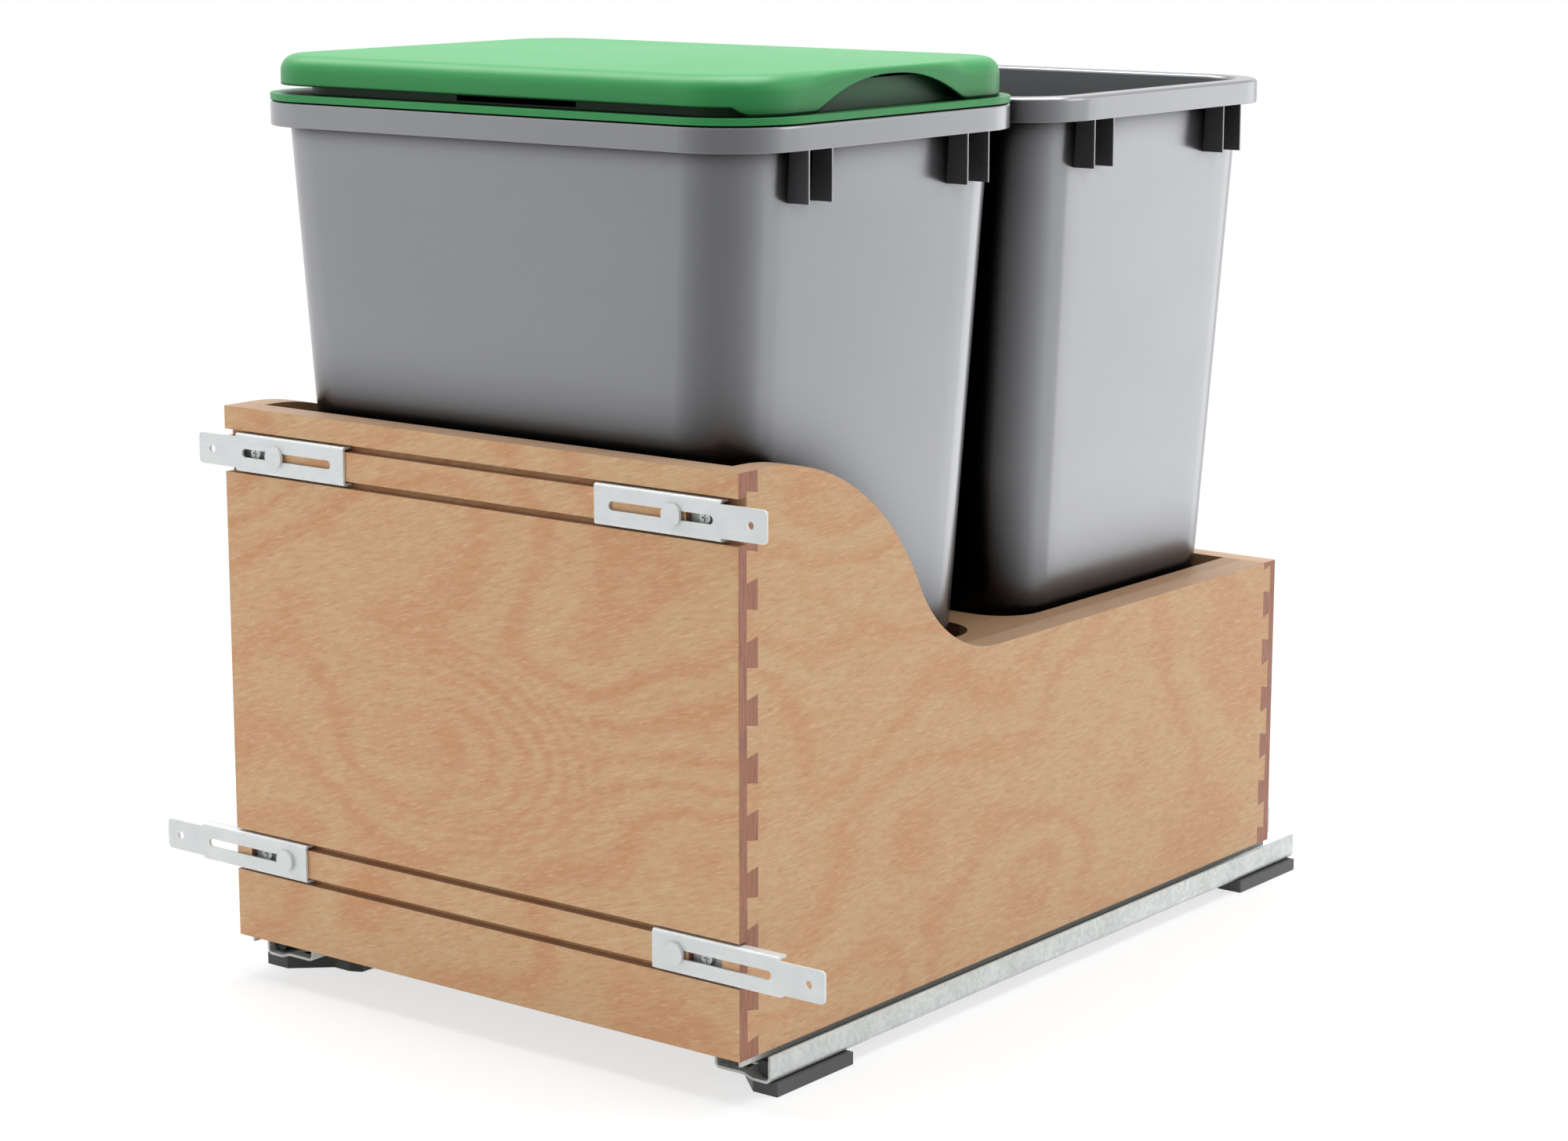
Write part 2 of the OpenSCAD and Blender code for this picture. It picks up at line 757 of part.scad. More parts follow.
// A spacer whose ear holds the cabinet screw; front and rear ends are alike
module spacer(y0) {
  nose_w = 16;
  ear_w = 19;
  ear_l = 30;
  ear_corner = 7;
  mid = spacer_l / 2;
  shoulder = [spacer_w - ear_w, mid - ear_l / 2];
  tip = [spacer_w, mid - ear_l / 2 + ear_corner / 2];
  half = [[0, 0], [nose_w, 0], shoulder, [spacer_w - ear_corner, shoulder[1]], tip];
  outline = concat(half, [for (i = [4:-1:0]) [half[i][0], spacer_l - half[i][1]]]);
  seat = rail_x - bed_u;
  color(dark_plastic) in_box() difference() {
    union() {
      translate([spacer_x, y0, 0]) linear_extrude(spacer_t) mirror([1, 0]) polygon(outline);
      block(
        [rail_x - rail_w + bend_r, y0 + mid - ear_l / 2, spacer_t - cut],
        [seat, y0 + mid + ear_l / 2, spacer_t + bed_rise]
      );
    }
    translate([spacer_hole_x, y0 + mid, -cut]) cylinder(d = spacer_hole_d, h = spacer_t + 2 * cut);
    at_spacer_screws() translate([0, 0, steel_t]) screw_hole(spacer_t - steel_t);
  }
}

module left_front_spacer() {
  on_left() spacer(spacer_y);
}

module left_rear_spacer() {
  on_left() spacer(rear_spacer_y);
}

module right_front_spacer() {
  spacer(spacer_y);
}

module right_rear_spacer() {
  spacer(rear_spacer_y);
}

module spacer_screws() {
  low_head_d = 6;
  low_head_h = 1;
  color(zinc) in_box() both_sides() at_spacer_screws()
    screw(spacer_t, head_d = low_head_d, head_h = low_head_h);
}

module damper() {
  collar_l = 6;
  collar_step = 0.5;
  seat_gap = 0.15;
  damper_back = 4;
  end_y = rail_y + damper_back;
  middle_z = spacer_t + steel_t + seat_gap + damper_d / 2;
  color(black_plastic) in_box()
    translate([rail_x - damper_u, end_y, middle_z]) rotate([-90, 0, 0]) {
      cylinder(d = damper_d, h = collar_l);
      cylinder(d = damper_d - 2 * collar_step, h = damper_l);
      translate([0, 0, damper_l - collar_l]) cylinder(d = damper_d, h = collar_l);
    }
}

module left_damper() {
  on_left() damper();
}

module right_damper() {
  damper();
}

// Middles of the rollers along their cage
roller_ys = [for (i = [0:roller_count - 1]) cage_y + cage_l * (i + 0.5) / roller_count];

module roller_cage(u, width, roller_start, v) {
  window_gap = 0.3;
  window_x = rail_x - roller_start - roller_l - window_gap;
  window_l = roller_d + 2 * window_gap;
  color(black_plastic) in_box() difference() {
    translate([rail_x - u - width, cage_y, spacer_t + v - cage_t / 2]) cube([width, cage_l, cage_t]);
    for (y = roller_ys)
      translate([window_x, y - window_l / 2, spacer_t + v - cage_t])
        cube([roller_l + 2 * window_gap, window_l, 2 * cage_t]);
  }
}

module rollers(roller_start, v) {
  color(zinc) in_box() for (y = roller_ys)
    translate([rail_x - roller_start - roller_l, y, spacer_t + v]) rotate([0, 90, 0])
      cylinder(d = roller_d, h = roller_l);
}

lower_roller_v = bed_v + roller_room / 2;
upper_roller_v = upper_v + roller_room / 2;

module lower_cage() {
  roller_cage(roller_u - cage_margin, roller_l + 2 * cage_margin, roller_u, lower_roller_v);
}

module upper_cage() {
  roller_cage(upper_cage_u, upper_cage_w, upper_roller_u, upper_roller_v);
}

module left_lower_cage() {
  on_left() lower_cage();
}

module right_lower_cage() {
  lower_cage();
}

module left_upper_cage() {
  on_left() upper_cage();
}

module right_upper_cage() {
  upper_cage();
}

module left_lower_rollers() {
  on_left() rollers(roller_u, lower_roller_v);
}

module right_lower_rollers() {
  rollers(roller_u, lower_roller_v);
}

module left_upper_rollers() {
  on_left() rollers(upper_roller_u, upper_roller_v);
}

module right_upper_rollers() {
  rollers(upper_roller_u, upper_roller_v);
}

module middle_rail() {
  lip_room = 1;
  lip_top = drawer_web_v - lip_room;
  color(galvanised) in_box() along_rail(middle_y, middle_l) {
    rect(middle_u, middle_v, middle_u + middle_w, upper_v);
    rect(middle_u, middle_v, middle_u + middle_t, lip_top);
    rect(middle_u + middle_w - middle_t, middle_v, middle_u + middle_w, lip_top);
  }
}

module left_middle_rail() {
  on_left() middle_rail();
}

module right_middle_rail() {
  middle_rail();
}

module drawer_rail() {
  web_y = front_t + slide_play;
  end_y = box_d + tab_play + steel_t;
  web_top = drawer_web_v + steel_t;
  lip_drop = 3;
  neck_w = 8;
  color(galvanised) in_box() difference() {
    union() {
      along_rail(drawer_rail_y, end_y - drawer_rail_y) {
        rect(drawer_flange_u, runner_h - steel_t, drawer_web_u + steel_t, runner_h);
        rect(drawer_flange_u, runner_h - drawer_skirt_h, drawer_flange_u + steel_t, runner_h);
      }
      along_rail(web_y, end_y - web_y) {
        rect(drawer_web_u, drawer_web_v, drawer_lip_u, web_top);
        rect(drawer_web_u, drawer_web_v, drawer_web_u + steel_t, runner_h);
        rect(drawer_lip_u, drawer_web_v - lip_drop, drawer_lip_u + steel_t, web_top);
      }
      block(
        [tab_mid - neck_w / 2, end_y - steel_t, box_z - steel_t],
        [tab_mid + neck_w / 2, end_y, box_z + tab_z + tab_h]
      );
      block(
        [tab_mid - tab_w / 2, end_y - steel_t, box_z + tab_z],
        [tab_mid + tab_w / 2, end_y, box_z + tab_z + tab_h]
      );
    }
    at_rail_screws() screw_hole(rail_screw_l);
    at_tab_screws() screw_hole(tab_screw_l);
  }
}

module left_drawer_rail() {
  on_left() drawer_rail();
}

module right_drawer_rail() {
  drawer_rail();
}

module drawer_rail_screws() {
  color(zinc) in_box() both_sides() at_rail_screws() screw(rail_screw_l);
}

module rear_tab_screws() {
  color(zinc) in_box() both_sides() at_tab_screws() screw(tab_screw_l);
}

// The bins

// A thin slice of a bin's body at a height, drawn in by an inset
module bin_slice(height, inset) {
  slice = 0.01;
  translate([0, 0, height]) linear_extrude(slice)
    round_rect(
      2 * (bin_half_w(height) - inset), 2 * (bin_half_d(height) - inset), bin_r - inset, $fn = blend_fn
    );
}

// A tapered, round-cornered body from the base up, drawn in by a wall
module bin_body(inset, base, height) {
  edge = base_edge - inset / 2;
  knee = edge * 0.3;
  hull() {
    bin_slice(base, inset + edge);
    bin_slice(base + knee, inset + knee);
    bin_slice(base + edge, inset);
    bin_slice(height, inset);
  }
}

module bin_rim() {
  skirt_z = bin_h - rim_h;
  difference() {
    translate([0, 0, skirt_z]) linear_extrude(rim_h) round_rect(rim_w, rim_d, rim_r);
    translate([0, 0, skirt_z - cut]) linear_extrude(rim_h + cut - bin_wall)
      round_rect(rim_w - 2 * bin_wall, rim_d - 2 * bin_wall, rim_r - bin_wall);
  }
}

module bin_fins() {
  foot = bin_h - rim_h - fin_h;
  root = bin_half_w(foot) - bin_wall;
  for (x = [-1, 1], y = [-1, 1], step = [0, fin_pitch])
    translate([x > 0 ? root : -rim_w / 2, y * (fin_inner_y + step) - fin_t / 2, foot])
      cube([rim_w / 2 - root, fin_t, fin_h + rim_h - bin_wall]);
}

module bin(y) {
  color(bin_grey) in_box() translate([0, y, bin_z]) difference() {
    union() {
      bin_body(0, 0, bin_h - bin_wall / 2);
      bin_rim();
      bin_fins();
    }
    bin_body(bin_wall, bin_wall, bin_h + cut);
  }
}

module front_bin() {
  bin(front_bin_y);
}

module rear_bin() {
  bin(rear_bin_y);
}

// The lid

// The outline of the upstand round the lid's opening, drawn in by an inset
module upstand_outline(inset) {
  translate([(upstand_x0 + upstand_x1) / 2, 0])
    round_rect(upstand_x1 - upstand_x0 - 2 * inset, 2 * (upstand_half_d - inset), upstand_r - inset);
}

module lid_frame() {
  collar_level = bin_h - collar_depth;
  collar_w = 2 * (bin_half_w(collar_level) - bin_wall - collar_gap);
  collar_d = 2 * (bin_half_d(collar_level) - bin_wall - collar_gap);
  collar_r = bin_r - bin_wall;
  arm_top = hinge_z + knuckle_d / 2;
  arm_foot = hinge_z - knuckle_d / 2;
  notch_start = -notch_w / 3;
  notch_foot = flange_z + 1;
  color(lid_green) in_box() translate([0, front_bin_y, 0]) difference() {
    union() {
      translate([0, 0, rim_z]) linear_extrude(lid_flange_t) difference() {
        round_rect(rim_w, rim_d, rim_r);
        upstand_outline(lid_wall);
      }
      translate([0, 0, rim_z - collar_depth]) linear_extrude(collar_depth + lid_flange_t)
        difference() {
          round_rect(collar_w, collar_d, collar_r);
          round_rect(collar_w - 2 * lid_wall, collar_d - 2 * lid_wall, collar_r - lid_wall);
        }
      translate([0, 0, rim_z]) linear_extrude(lid_flange_t + upstand_h) difference() {
        upstand_outline(0);
        upstand_outline(lid_wall);
      }
      for (side = [-1, 1]) translate([0, side * (hinge_arm_y + knuckle_w / 2), 0]) {
        block([hinge_x, -knuckle_w / 2, arm_foot], [upstand_x0 + lid_wall, knuckle_w / 2, arm_top]);
        translate([hinge_x, knuckle_w / 2, hinge_z]) rotate([90, 0, 0])
          cylinder(d = knuckle_d, h = knuckle_w);
      }
    }
    for (side = [-1, 1])
      translate([hinge_x, side * (hinge_arm_y + knuckle_w / 2), hinge_z]) rotate([90, 0, 0])
        cylinder(d = hinge_pin_d + 2 * hinge_gap, h = knuckle_w + 2 * cut, center = true);
    block(
      [notch_start, -upstand_half_d - cut, notch_foot],
      [notch_start + notch_w, -upstand_half_d + lid_wall + cut, flange_z + upstand_h + cut]
    );
  }
}

// A round-cornered slab with a rounded top edge, standing on Z 0
module soft_slab(w, d, r, h, edge) {
  hull() for (x = [-1, 1], y = [-1, 1])
    translate([x * (w / 2 - r), y * (d / 2 - r), 0]) {
      cylinder(r = r, h = h - edge, $fn = blend_fn);
      translate([0, 0, h - edge]) rotate_extrude($fn = blend_fn) translate([r - edge, 0])
        intersection() {
          circle(edge, $fn = blend_fn);
          square(edge);
        }
    }
}

module lid_flap() {
  skirt_z = flange_z + flap_seat_gap;
  height = flange_z + flap_h - skirt_z;
  short_skirt_z = flange_z + flap_gap;
  lift_end = flap_w / 2 - flap_r * 0.3;
  arch_r = (arch_w * arch_w / 4 + arch_h * arch_h) / (2 * arch_h);
  knuckle_y = hinge_arm_y + knuckle_w + knuckle_gap;
  knuckle_rise = flap_h - hinge_up - lid_wall / 2;
  color(lid_green) in_box() translate([0, front_bin_y, 0]) difference() {
    union() {
      difference() {
        translate([0, 0, skirt_z]) soft_slab(flap_w, flap_d, flap_r, height, flap_edge_r);
        translate([0, 0, skirt_z - cut])
          soft_slab(
            flap_w - 2 * lid_wall, flap_d - 2 * lid_wall, flap_r - lid_wall, height - lid_wall + cut,
            flap_edge_r - lid_wall
          );
        block([-flap_w, -flap_d, skirt_z - cut], [lift_end, flap_d, short_skirt_z]);
        translate([flap_w / 2 - flap_r, 0, flange_z + arch_h - arch_r]) rotate([0, 90, 0])
          cylinder(r = arch_r, h = flap_r + cut, $fn = 180);
      }
      for (side = [-1, 1]) translate([hinge_x, side * (knuckle_y + knuckle_w / 2), hinge_z]) {
        block([-knuckle_d / 2, -knuckle_w / 2, 0], [knuckle_d / 2, knuckle_w / 2, knuckle_rise]);
        translate([0, knuckle_w / 2, 0]) rotate([90, 0, 0]) cylinder(d = knuckle_d, h = knuckle_w);
      }
    }
    for (side = [-1, 1])
      translate([hinge_x, side * (knuckle_y + knuckle_w / 2), hinge_z]) rotate([90, 0, 0])
        cylinder(d = hinge_pin_d + 2 * hinge_gap, h = knuckle_w + 2 * cut, center = true);
  }
}

module lid_hinge_pins() {
  head_t = 1.2;
  head_rim = 1.25;
  head_d = hinge_pin_d + 2 * head_rim;
  head_play = 0.1;
  point = 0.5;
  pin_l = 2 * knuckle_w + knuckle_gap + point;
  color(zinc) in_box() for (side = [-1, 1])
    translate([hinge_x, front_bin_y + side * (hinge_arm_y - head_play), hinge_z])
      rotate([-side * 90, 0, 0]) {
        cylinder(d = hinge_pin_d, h = pin_l);
        translate([0, 0, -head_t]) cylinder(d = head_d, h = head_t);
      }
}

left_cabinet_rail();
right_cabinet_rail();
left_front_spacer();
left_rear_spacer();
right_front_spacer();
right_rear_spacer();
spacer_screws();
left_damper();
right_damper();
left_lower_cage();
right_lower_cage();
left_lower_rollers();
right_lower_rollers();
left_middle_rail();
right_middle_rail();
left_upper_cage();
right_upper_cage();
left_upper_rollers();
right_upper_rollers();
front_panel();
left_side_panel();
right_side_panel();
back_panel();
floor_panel();
bin_tray();
left_tray_cleat();
right_tray_cleat();
tray_screws();
cleat_screws();
left_drawer_rail();
right_drawer_rail();
drawer_rail_screws();
rear_tab_screws();
bracket_studs();
bracket_clamps();
bracket_lock_screws();
upper_left_bracket();
upper_right_bracket();
lower_left_bracket();
lower_right_bracket();
front_bin();
rear_bin();
lid_frame();
lid_flap();
lid_hinge_pins();
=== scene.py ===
"""Looks of a pull-out bin frame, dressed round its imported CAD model.

Every length is in metres, in the CAD frame: X across, Y from front to back, Z up from the cabinet floor.
"""

import logging
import math
from dataclasses import dataclass, field
from enum import Enum
from typing import Any, Sequence

import bpy
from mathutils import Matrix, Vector


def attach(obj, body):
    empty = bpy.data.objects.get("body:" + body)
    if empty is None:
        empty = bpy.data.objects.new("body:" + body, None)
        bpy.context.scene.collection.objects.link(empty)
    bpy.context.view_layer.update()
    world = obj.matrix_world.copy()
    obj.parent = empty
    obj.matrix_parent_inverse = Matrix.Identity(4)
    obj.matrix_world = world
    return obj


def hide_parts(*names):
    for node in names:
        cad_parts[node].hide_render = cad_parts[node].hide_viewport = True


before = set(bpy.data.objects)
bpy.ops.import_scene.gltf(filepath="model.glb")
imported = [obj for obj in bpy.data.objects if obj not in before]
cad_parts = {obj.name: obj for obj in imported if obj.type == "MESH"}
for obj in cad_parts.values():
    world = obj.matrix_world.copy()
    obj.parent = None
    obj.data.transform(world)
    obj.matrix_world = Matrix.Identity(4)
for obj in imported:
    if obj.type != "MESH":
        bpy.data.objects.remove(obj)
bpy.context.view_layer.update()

LOG = logging.getLogger("bin_frame")
MM = 0.001
FULL_TURN = 2 * math.pi
TINY = 1e-6
BEVEL_SAMPLES = 4
# Samples of the ambient occlusion that paints shade into plastic colours.
PAINTED_SHADE_SAMPLES = 16
NORMAL_WEIGHT = 80
FRONT_BIN_Y = -136.85 * MM
REAR_BIN_Y = 126.92 * MM

Colour = tuple[float, float, float, float]
Point = tuple[float, float, float]
Pair = tuple[float, float]
Span = tuple[float, float]
Rings = list[list[Point]]
Socket = bpy.types.NodeSocket
Material = bpy.types.Material

WHITE: Colour = (1.0, 1.0, 1.0, 1.0)
# Where most of a noise texture's values lie.
NOISE_SPAN: Span = (0.3, 0.7)


def linear(value: float) -> float:
    """Undoes the standard display curve for one channel from 0 to 255."""
    share = value / 255
    return share / 12.92 if share <= 0.04045 else ((share + 0.055) / 1.055) ** 2.4


def tone(red: float, green: float, blue: float) -> Colour:
    """Gives a display colour, with channels from 0 to 255, as linear light."""
    return linear(red), linear(green), linear(blue), 1.0


def smooth_step(low: float, high: float, value: float) -> float:
    """Gives the height at value of a smooth rise from 0 at low to 1 at high."""
    share = min(1.0, max(0.0, (value - low) / (high - low)))
    return share * share * (3 - 2 * share)


def quarter_turn(radius: float, steps: int) -> list[Pair]:
    """Walks a quarter round in steps, and gives each point's distance from its first and its last side."""
    angles = [math.pi / 2 * step / steps for step in range(steps + 1)]
    return [(radius * (1 - math.cos(angle)), radius * (1 - math.sin(angle))) for angle in angles]


@dataclass(frozen=True)
class Noise:
    """A noise texture: its cells per metre, overall or by axis, and the count and weight of its octaves."""

    cells: float | Point
    octaves: float = 3.0
    rough: float = 0.5


class Graph:
    """A node tree, with short ways to add and link its nodes."""

    def __init__(self, tree: bpy.types.NodeTree) -> None:
        """Empties the tree of a material or a world."""
        self.tree = tree
        self.tree.nodes.clear()

    def put(self, socket: Socket, value: Any) -> None:
        """Links a socket to another one, or sets it to a plain value.

        Args:
            socket: The socket that takes it.
            value: The other socket or the value.
        """
        if isinstance(value, Socket):
            self.tree.links.new(value, socket)
        else:
            socket.default_value = value

    def add(self, kind: str, inputs: dict[Any, Any], **settings: Any) -> bpy.types.Node:
        """Adds a node.

        Args:
            kind: The node's type, without its ShaderNode prefix.
            inputs: Values or sockets by input name or number.
            **settings: Attributes of the node.

        Returns:
            The new node.
        """
        node = self.tree.nodes.new("ShaderNode" + kind)
        for key, value in settings.items():
            setattr(node, key, value)
        for key, value in inputs.items():
            self.put(node.inputs[key], value)
        return node

    def math(self, operation: str, *values: Any) -> Socket:
        """Adds a Math node that works on numbers or sockets, and gives its result."""
        return self.add("Math", dict(enumerate(values)), operation=operation).outputs[0]

    def vector(self, operation: str, *values: Any, result: str = "Vector") -> Socket:
        """Adds a Vector Math node, and gives its Vector, or its Value where the result is a number."""
        return self.add("VectorMath", dict(enumerate(values)), operation=operation).outputs[result]

    def noise(self, source: Socket, noise: Noise, result: str = "Fac") -> Socket:
        """Adds a noise texture.

        Args:
            source: The coordinate that it reads.
            noise: The texture's make.
            result: Fac for a number, or Color for a vector.

        Returns:
            The result's socket.
        """
        scale = noise.cells
        if isinstance(scale, tuple):
            source = self.vector("MULTIPLY", source, scale)
            scale = 1.0
        inputs = {"Vector": source, "Scale": scale, "Detail": noise.octaves, "Roughness": noise.rough}
        return self.add("TexNoise", inputs).outputs[result]

    def span(self, value: Socket, window: Span, ends: Span = (0.0, 1.0)) -> Socket:
        """Maps a number from a window to new ends, and stops there."""
        return self.add("MapRange", dict(enumerate((value, *window, *ends)))).outputs[0]

    def mix(self, share: Any, first: Any, second: Any, blend: str = "MIX") -> Socket:
        """Mixes two colours, by the share of the second one."""
        node = self.add("Mix", {0: share, 6: first, 7: second}, data_type="RGBA", blend_type=blend)
        return node.outputs[2]

    def axis(self, source: Socket, name: str) -> Socket:
        """Gives one axis of a vector."""
        return self.add("SeparateXYZ", {0: source}).outputs[name]

    def blend(self, share: Any, first: Socket, second: Socket) -> Socket:
        """Mixes two shaders, by the share of the second one."""
        return self.add("MixShader", {0: share, 1: first, 2: second}).outputs[0]


class Surface(Graph):
    """One material's nodes round a Principled shader."""

    def __init__(self, name: str) -> None:
        """Starts the material.

        Args:
            name: The material's name.
        """
        self.material = bpy.data.materials.new(name)
        self.material.use_nodes = True
        super().__init__(self.material.node_tree)
        self.shader = self.add("BsdfPrincipled", {})
        self.output = self.add("OutputMaterial", {0: self.shader.outputs[0]})
        coordinates = self.add("TexCoord", {})
        self.place = coordinates.outputs["Object"]
        self.facing = coordinates.outputs["Normal"]

    def relief(self, height: Socket, depth: float, edge: float) -> None:
        """Gives the surface a fine relief and softly rounded edges.

        Args:
            height: The relief's height from 0 to 1.
            depth: The relief's depth.
            edge: The radius that edges seem to have.
        """
        rounded = self.add("Bevel", {"Radius": edge}, samples=BEVEL_SAMPLES).outputs[0]
        bump = self.add("Bump", {"Height": height, "Distance": depth, "Strength": 1.0, "Normal": rounded})
        self.put(self.shader.inputs["Normal"], bump.outputs[0])

    def finish(self, **inputs: Any) -> Material:
        """Sets the shader's inputs.

        Args:
            **inputs: Values or sockets by input name, with _ for a space.

        Returns:
            The finished material.
        """
        for key, value in inputs.items():
            self.put(self.shader.inputs[key.replace("_", " ")], value)
        return self.material


class Grain(Enum):
    """How a board lies: the axes along its fibres, across them, and through it."""

    ACROSS = ("X", "Z", "Y")
    DEEP = ("Y", "Z", "X")
    FLAT = ("Y", "X", "Z")


@dataclass(frozen=True)
class Maple:
    """Pale plywood veneer with a wandering figure, under a clear satin lacquer."""

    name: str
    grain: Grain
    seed: float = 0.0
    pale: Colour = tone(202, 170, 130)
    peach: Colour = tone(195, 143, 101)
    fleck: Colour = tone(158, 110, 76)
    light_fleck: Colour = tone(220, 190, 156)
    # The figure's lines follow the height of smooth hills, like the lines on a map.
    hills: Noise = Noise((4.5, 7.65, 4.5), 1.5, 0.4)
    ripple: Noise = Noise((30, 50, 50), 3.0, 0.55)
    ripple_reach: float = 6 * MM
    bands: float = 9.0
    level_lines: float = 8.0
    band_strength: float = 0.42
    band_sharpness: float = 2.2
    # The eye's fade and front are shares of its radius.
    eye: Pair = (0.0, 0.0)
    eye_radius: float = 58 * MM
    eye_stretch: float = 2.0
    eye_rings: float = 5.0
    eye_strength: float = 0.0
    eye_fade: Span = (0.85, 1.3)
    eye_front: Span = (-0.5, 0.7)
    eye_back_share: float = 0.2
    clouds: Noise = Noise((14, 24, 24), 4.0, 0.6)
    cloud_shade: Span = (0.18, 0.4)
    # Dashes, fibres and pores follow the lean, which is a rise per length along the board.
    lean: float = 0.0
    dashes: Noise = Noise((110, 360, 360), 3.0, 0.6)
    dash_strength: float = 0.28
    fibres: Noise = Noise((60, 650, 650), 4.0, 0.6)
    fibre_window: Span = (0.4, 0.75)
    fibre_strength: float = 0.4
    pores: Noise = Noise((150, 1000, 1000))
    pore_window: Span = (0.56, 0.78)
    pore_strength: float = 0.42
    light_pore_window: Span = (0.44, 0.25)
    light_pore_strength: float = 0.5
    # Faces that look up get painted shade, a colour set for how the light falls on them from above, and the
    # cut ends of the fibres get their own colour.
    top: Colour = tone(160, 134, 113)
    upward_shade_window: Span = (0.85, 0.97)
    upward_shade_strength: float = 0.7
    end_pale: Colour = tone(172, 120, 96)
    end_dark: Colour = tone(136, 88, 70)
    end_facing: float = 0.93
    streaks: Noise = Noise((300, 60, 900), 4.0, 0.65)
    streak_window: Span = (0.32, 0.68)
    relief_depth: float = 0.03 * MM
    soft_edge: float = 0.5 * MM
    rough: Span = (0.44, 0.56)
    specular: float = 0.3
    lacquer: float = 0.06
    lacquer_rough: float = 0.35

    def build(self) -> Material:
        """Makes the veneer's material.

        Returns:
            The material.
        """
        graph = Surface(self.name)
        parts = graph.add("SeparateXYZ", {0: graph.place})
        along, across, through = (parts.outputs[axis] for axis in self.grain.value)
        board = graph.add("CombineXYZ", {0: along, 1: across, 2: through}).outputs[0]
        level = graph.math("MULTIPLY_ADD", along, -self.lean, across)
        leaning = graph.add("CombineXYZ", {0: along, 1: level, 2: through}).outputs[0]
        place = (self.seed,) * 3
        sample = graph.vector("ADD", board, place)
        leaning = graph.vector("ADD", leaning, place)
        wood = graph.mix(self.figure(graph, board, sample, leaning), self.pale, self.peach)
        fibres = graph.noise(leaning, self.fibres)
        wood = graph.mix(graph.span(fibres, self.fibre_window, (0.0, self.fibre_strength)), wood, self.peach)
        pores = graph.noise(leaning, self.pores)
        dark = graph.span(pores, self.pore_window, (0.0, self.pore_strength))
        light = graph.span(pores, self.light_pore_window, (0.0, self.light_pore_strength))
        wood = graph.mix(dark, wood, self.fleck)
        wood = graph.mix(light, wood, self.light_fleck)
        # Painted shade: faces that look up are mixed toward the top colour.
        painted_upward_shade = graph.span(graph.axis(graph.facing, "Z"), self.upward_shade_window, (0.0, self.upward_shade_strength))
        wood = graph.mix(painted_upward_shade, wood, self.top)
        endwise = graph.math("ABSOLUTE", graph.axis(graph.facing, self.grain.value[0]))
        cut_end = graph.math("GREATER_THAN", endwise, self.end_facing)
        streaks = graph.span(graph.noise(sample, self.streaks), self.streak_window)
        wood = graph.mix(cut_end, wood, graph.mix(streaks, self.end_pale, self.end_dark))
        graph.relief(graph.math("ADD", fibres, pores), self.relief_depth, self.soft_edge)
        rough = graph.span(fibres, NOISE_SPAN, self.rough)
        return graph.finish(
            Base_Color=wood, Roughness=rough, Specular_IOR_Level=self.specular,
            Coat_Weight=self.lacquer, Coat_Roughness=self.lacquer_rough,
        )

    def figure(self, graph: Surface, board: Socket, sample: Socket, leaning: Socket) -> Socket:
        """Draws the lines that follow the veneer's hills, the rings of its eye, clouds and dashes.

        Args:
            graph: The material's nodes.
            board: The coordinate along, across and through the board.
            sample: The same coordinate, moved to this board's place in the noise.
            leaning: The moved coordinate, sheared along the fibres' lean.

        Returns:
            How much of the darker wood shows.
        """
        reach = self.ripple_reach
        ripple = graph.noise(sample, self.ripple, "Color")
        ripple = graph.vector("MULTIPLY_ADD", ripple, (2 * reach,) * 3, (-reach,) * 3)
        moved = graph.vector("ADD", sample, ripple)
        climb = graph.math("MULTIPLY", graph.noise(moved, self.hills), FULL_TURN * self.bands)
        climb = graph.math("MULTIPLY_ADD", graph.axis(moved, "Y"), FULL_TURN * self.level_lines, climb)
        wave = graph.span(graph.math("SINE", climb), (-1.0, 1.0))
        lines = graph.math("POWER", wave, self.band_sharpness)
        if self.eye_strength:
            lines = self.eye_lines(graph, graph.vector("ADD", board, ripple), lines)
        clouds = graph.span(graph.noise(moved, self.clouds), NOISE_SPAN, self.cloud_shade)
        shade = graph.math("MULTIPLY_ADD", lines, self.band_strength, clouds)
        dash_shade = (-self.dash_strength, self.dash_strength)
        return graph.math("ADD", shade, graph.span(graph.noise(leaning, self.dashes), NOISE_SPAN, dash_shade))

    def eye_lines(self, graph: Surface, rippled: Socket, lines: Socket) -> Socket:
        """Draws the rings of the veneer's eye over its lines.

        Args:
            graph: The material's nodes.
            rippled: The coordinate along, across and through the board, with its ripple.
            lines: The lines that the rings take the place of.

        Returns:
            The lines with the rings.
        """
        stretch = 1 / self.eye_stretch
        centre = (-self.eye[0] * stretch, -self.eye[1], 0.0)
        from_eye = graph.vector("MULTIPLY_ADD", rippled, (stretch, 1.0, 0.0), centre)
        away = graph.math("DIVIDE", graph.vector("LENGTH", from_eye, result="Value"), self.eye_radius)
        turns = graph.math("MULTIPLY", graph.math("POWER", away, 2.0), FULL_TURN * self.eye_rings)
        rings = graph.span(graph.math("SINE", turns), (-1.0, 1.0))
        back, front = (share * self.eye_radius for share in self.eye_front)
        ahead = graph.span(graph.axis(from_eye, "X"), (back, front), (self.eye_back_share, 1.0))
        near = graph.math("MULTIPLY", graph.span(away, self.eye_fade, (self.eye_strength, 0.0)), ahead)
        return graph.math("MULTIPLY_ADD", graph.math("SUBTRACT", rings, lines), near, lines)


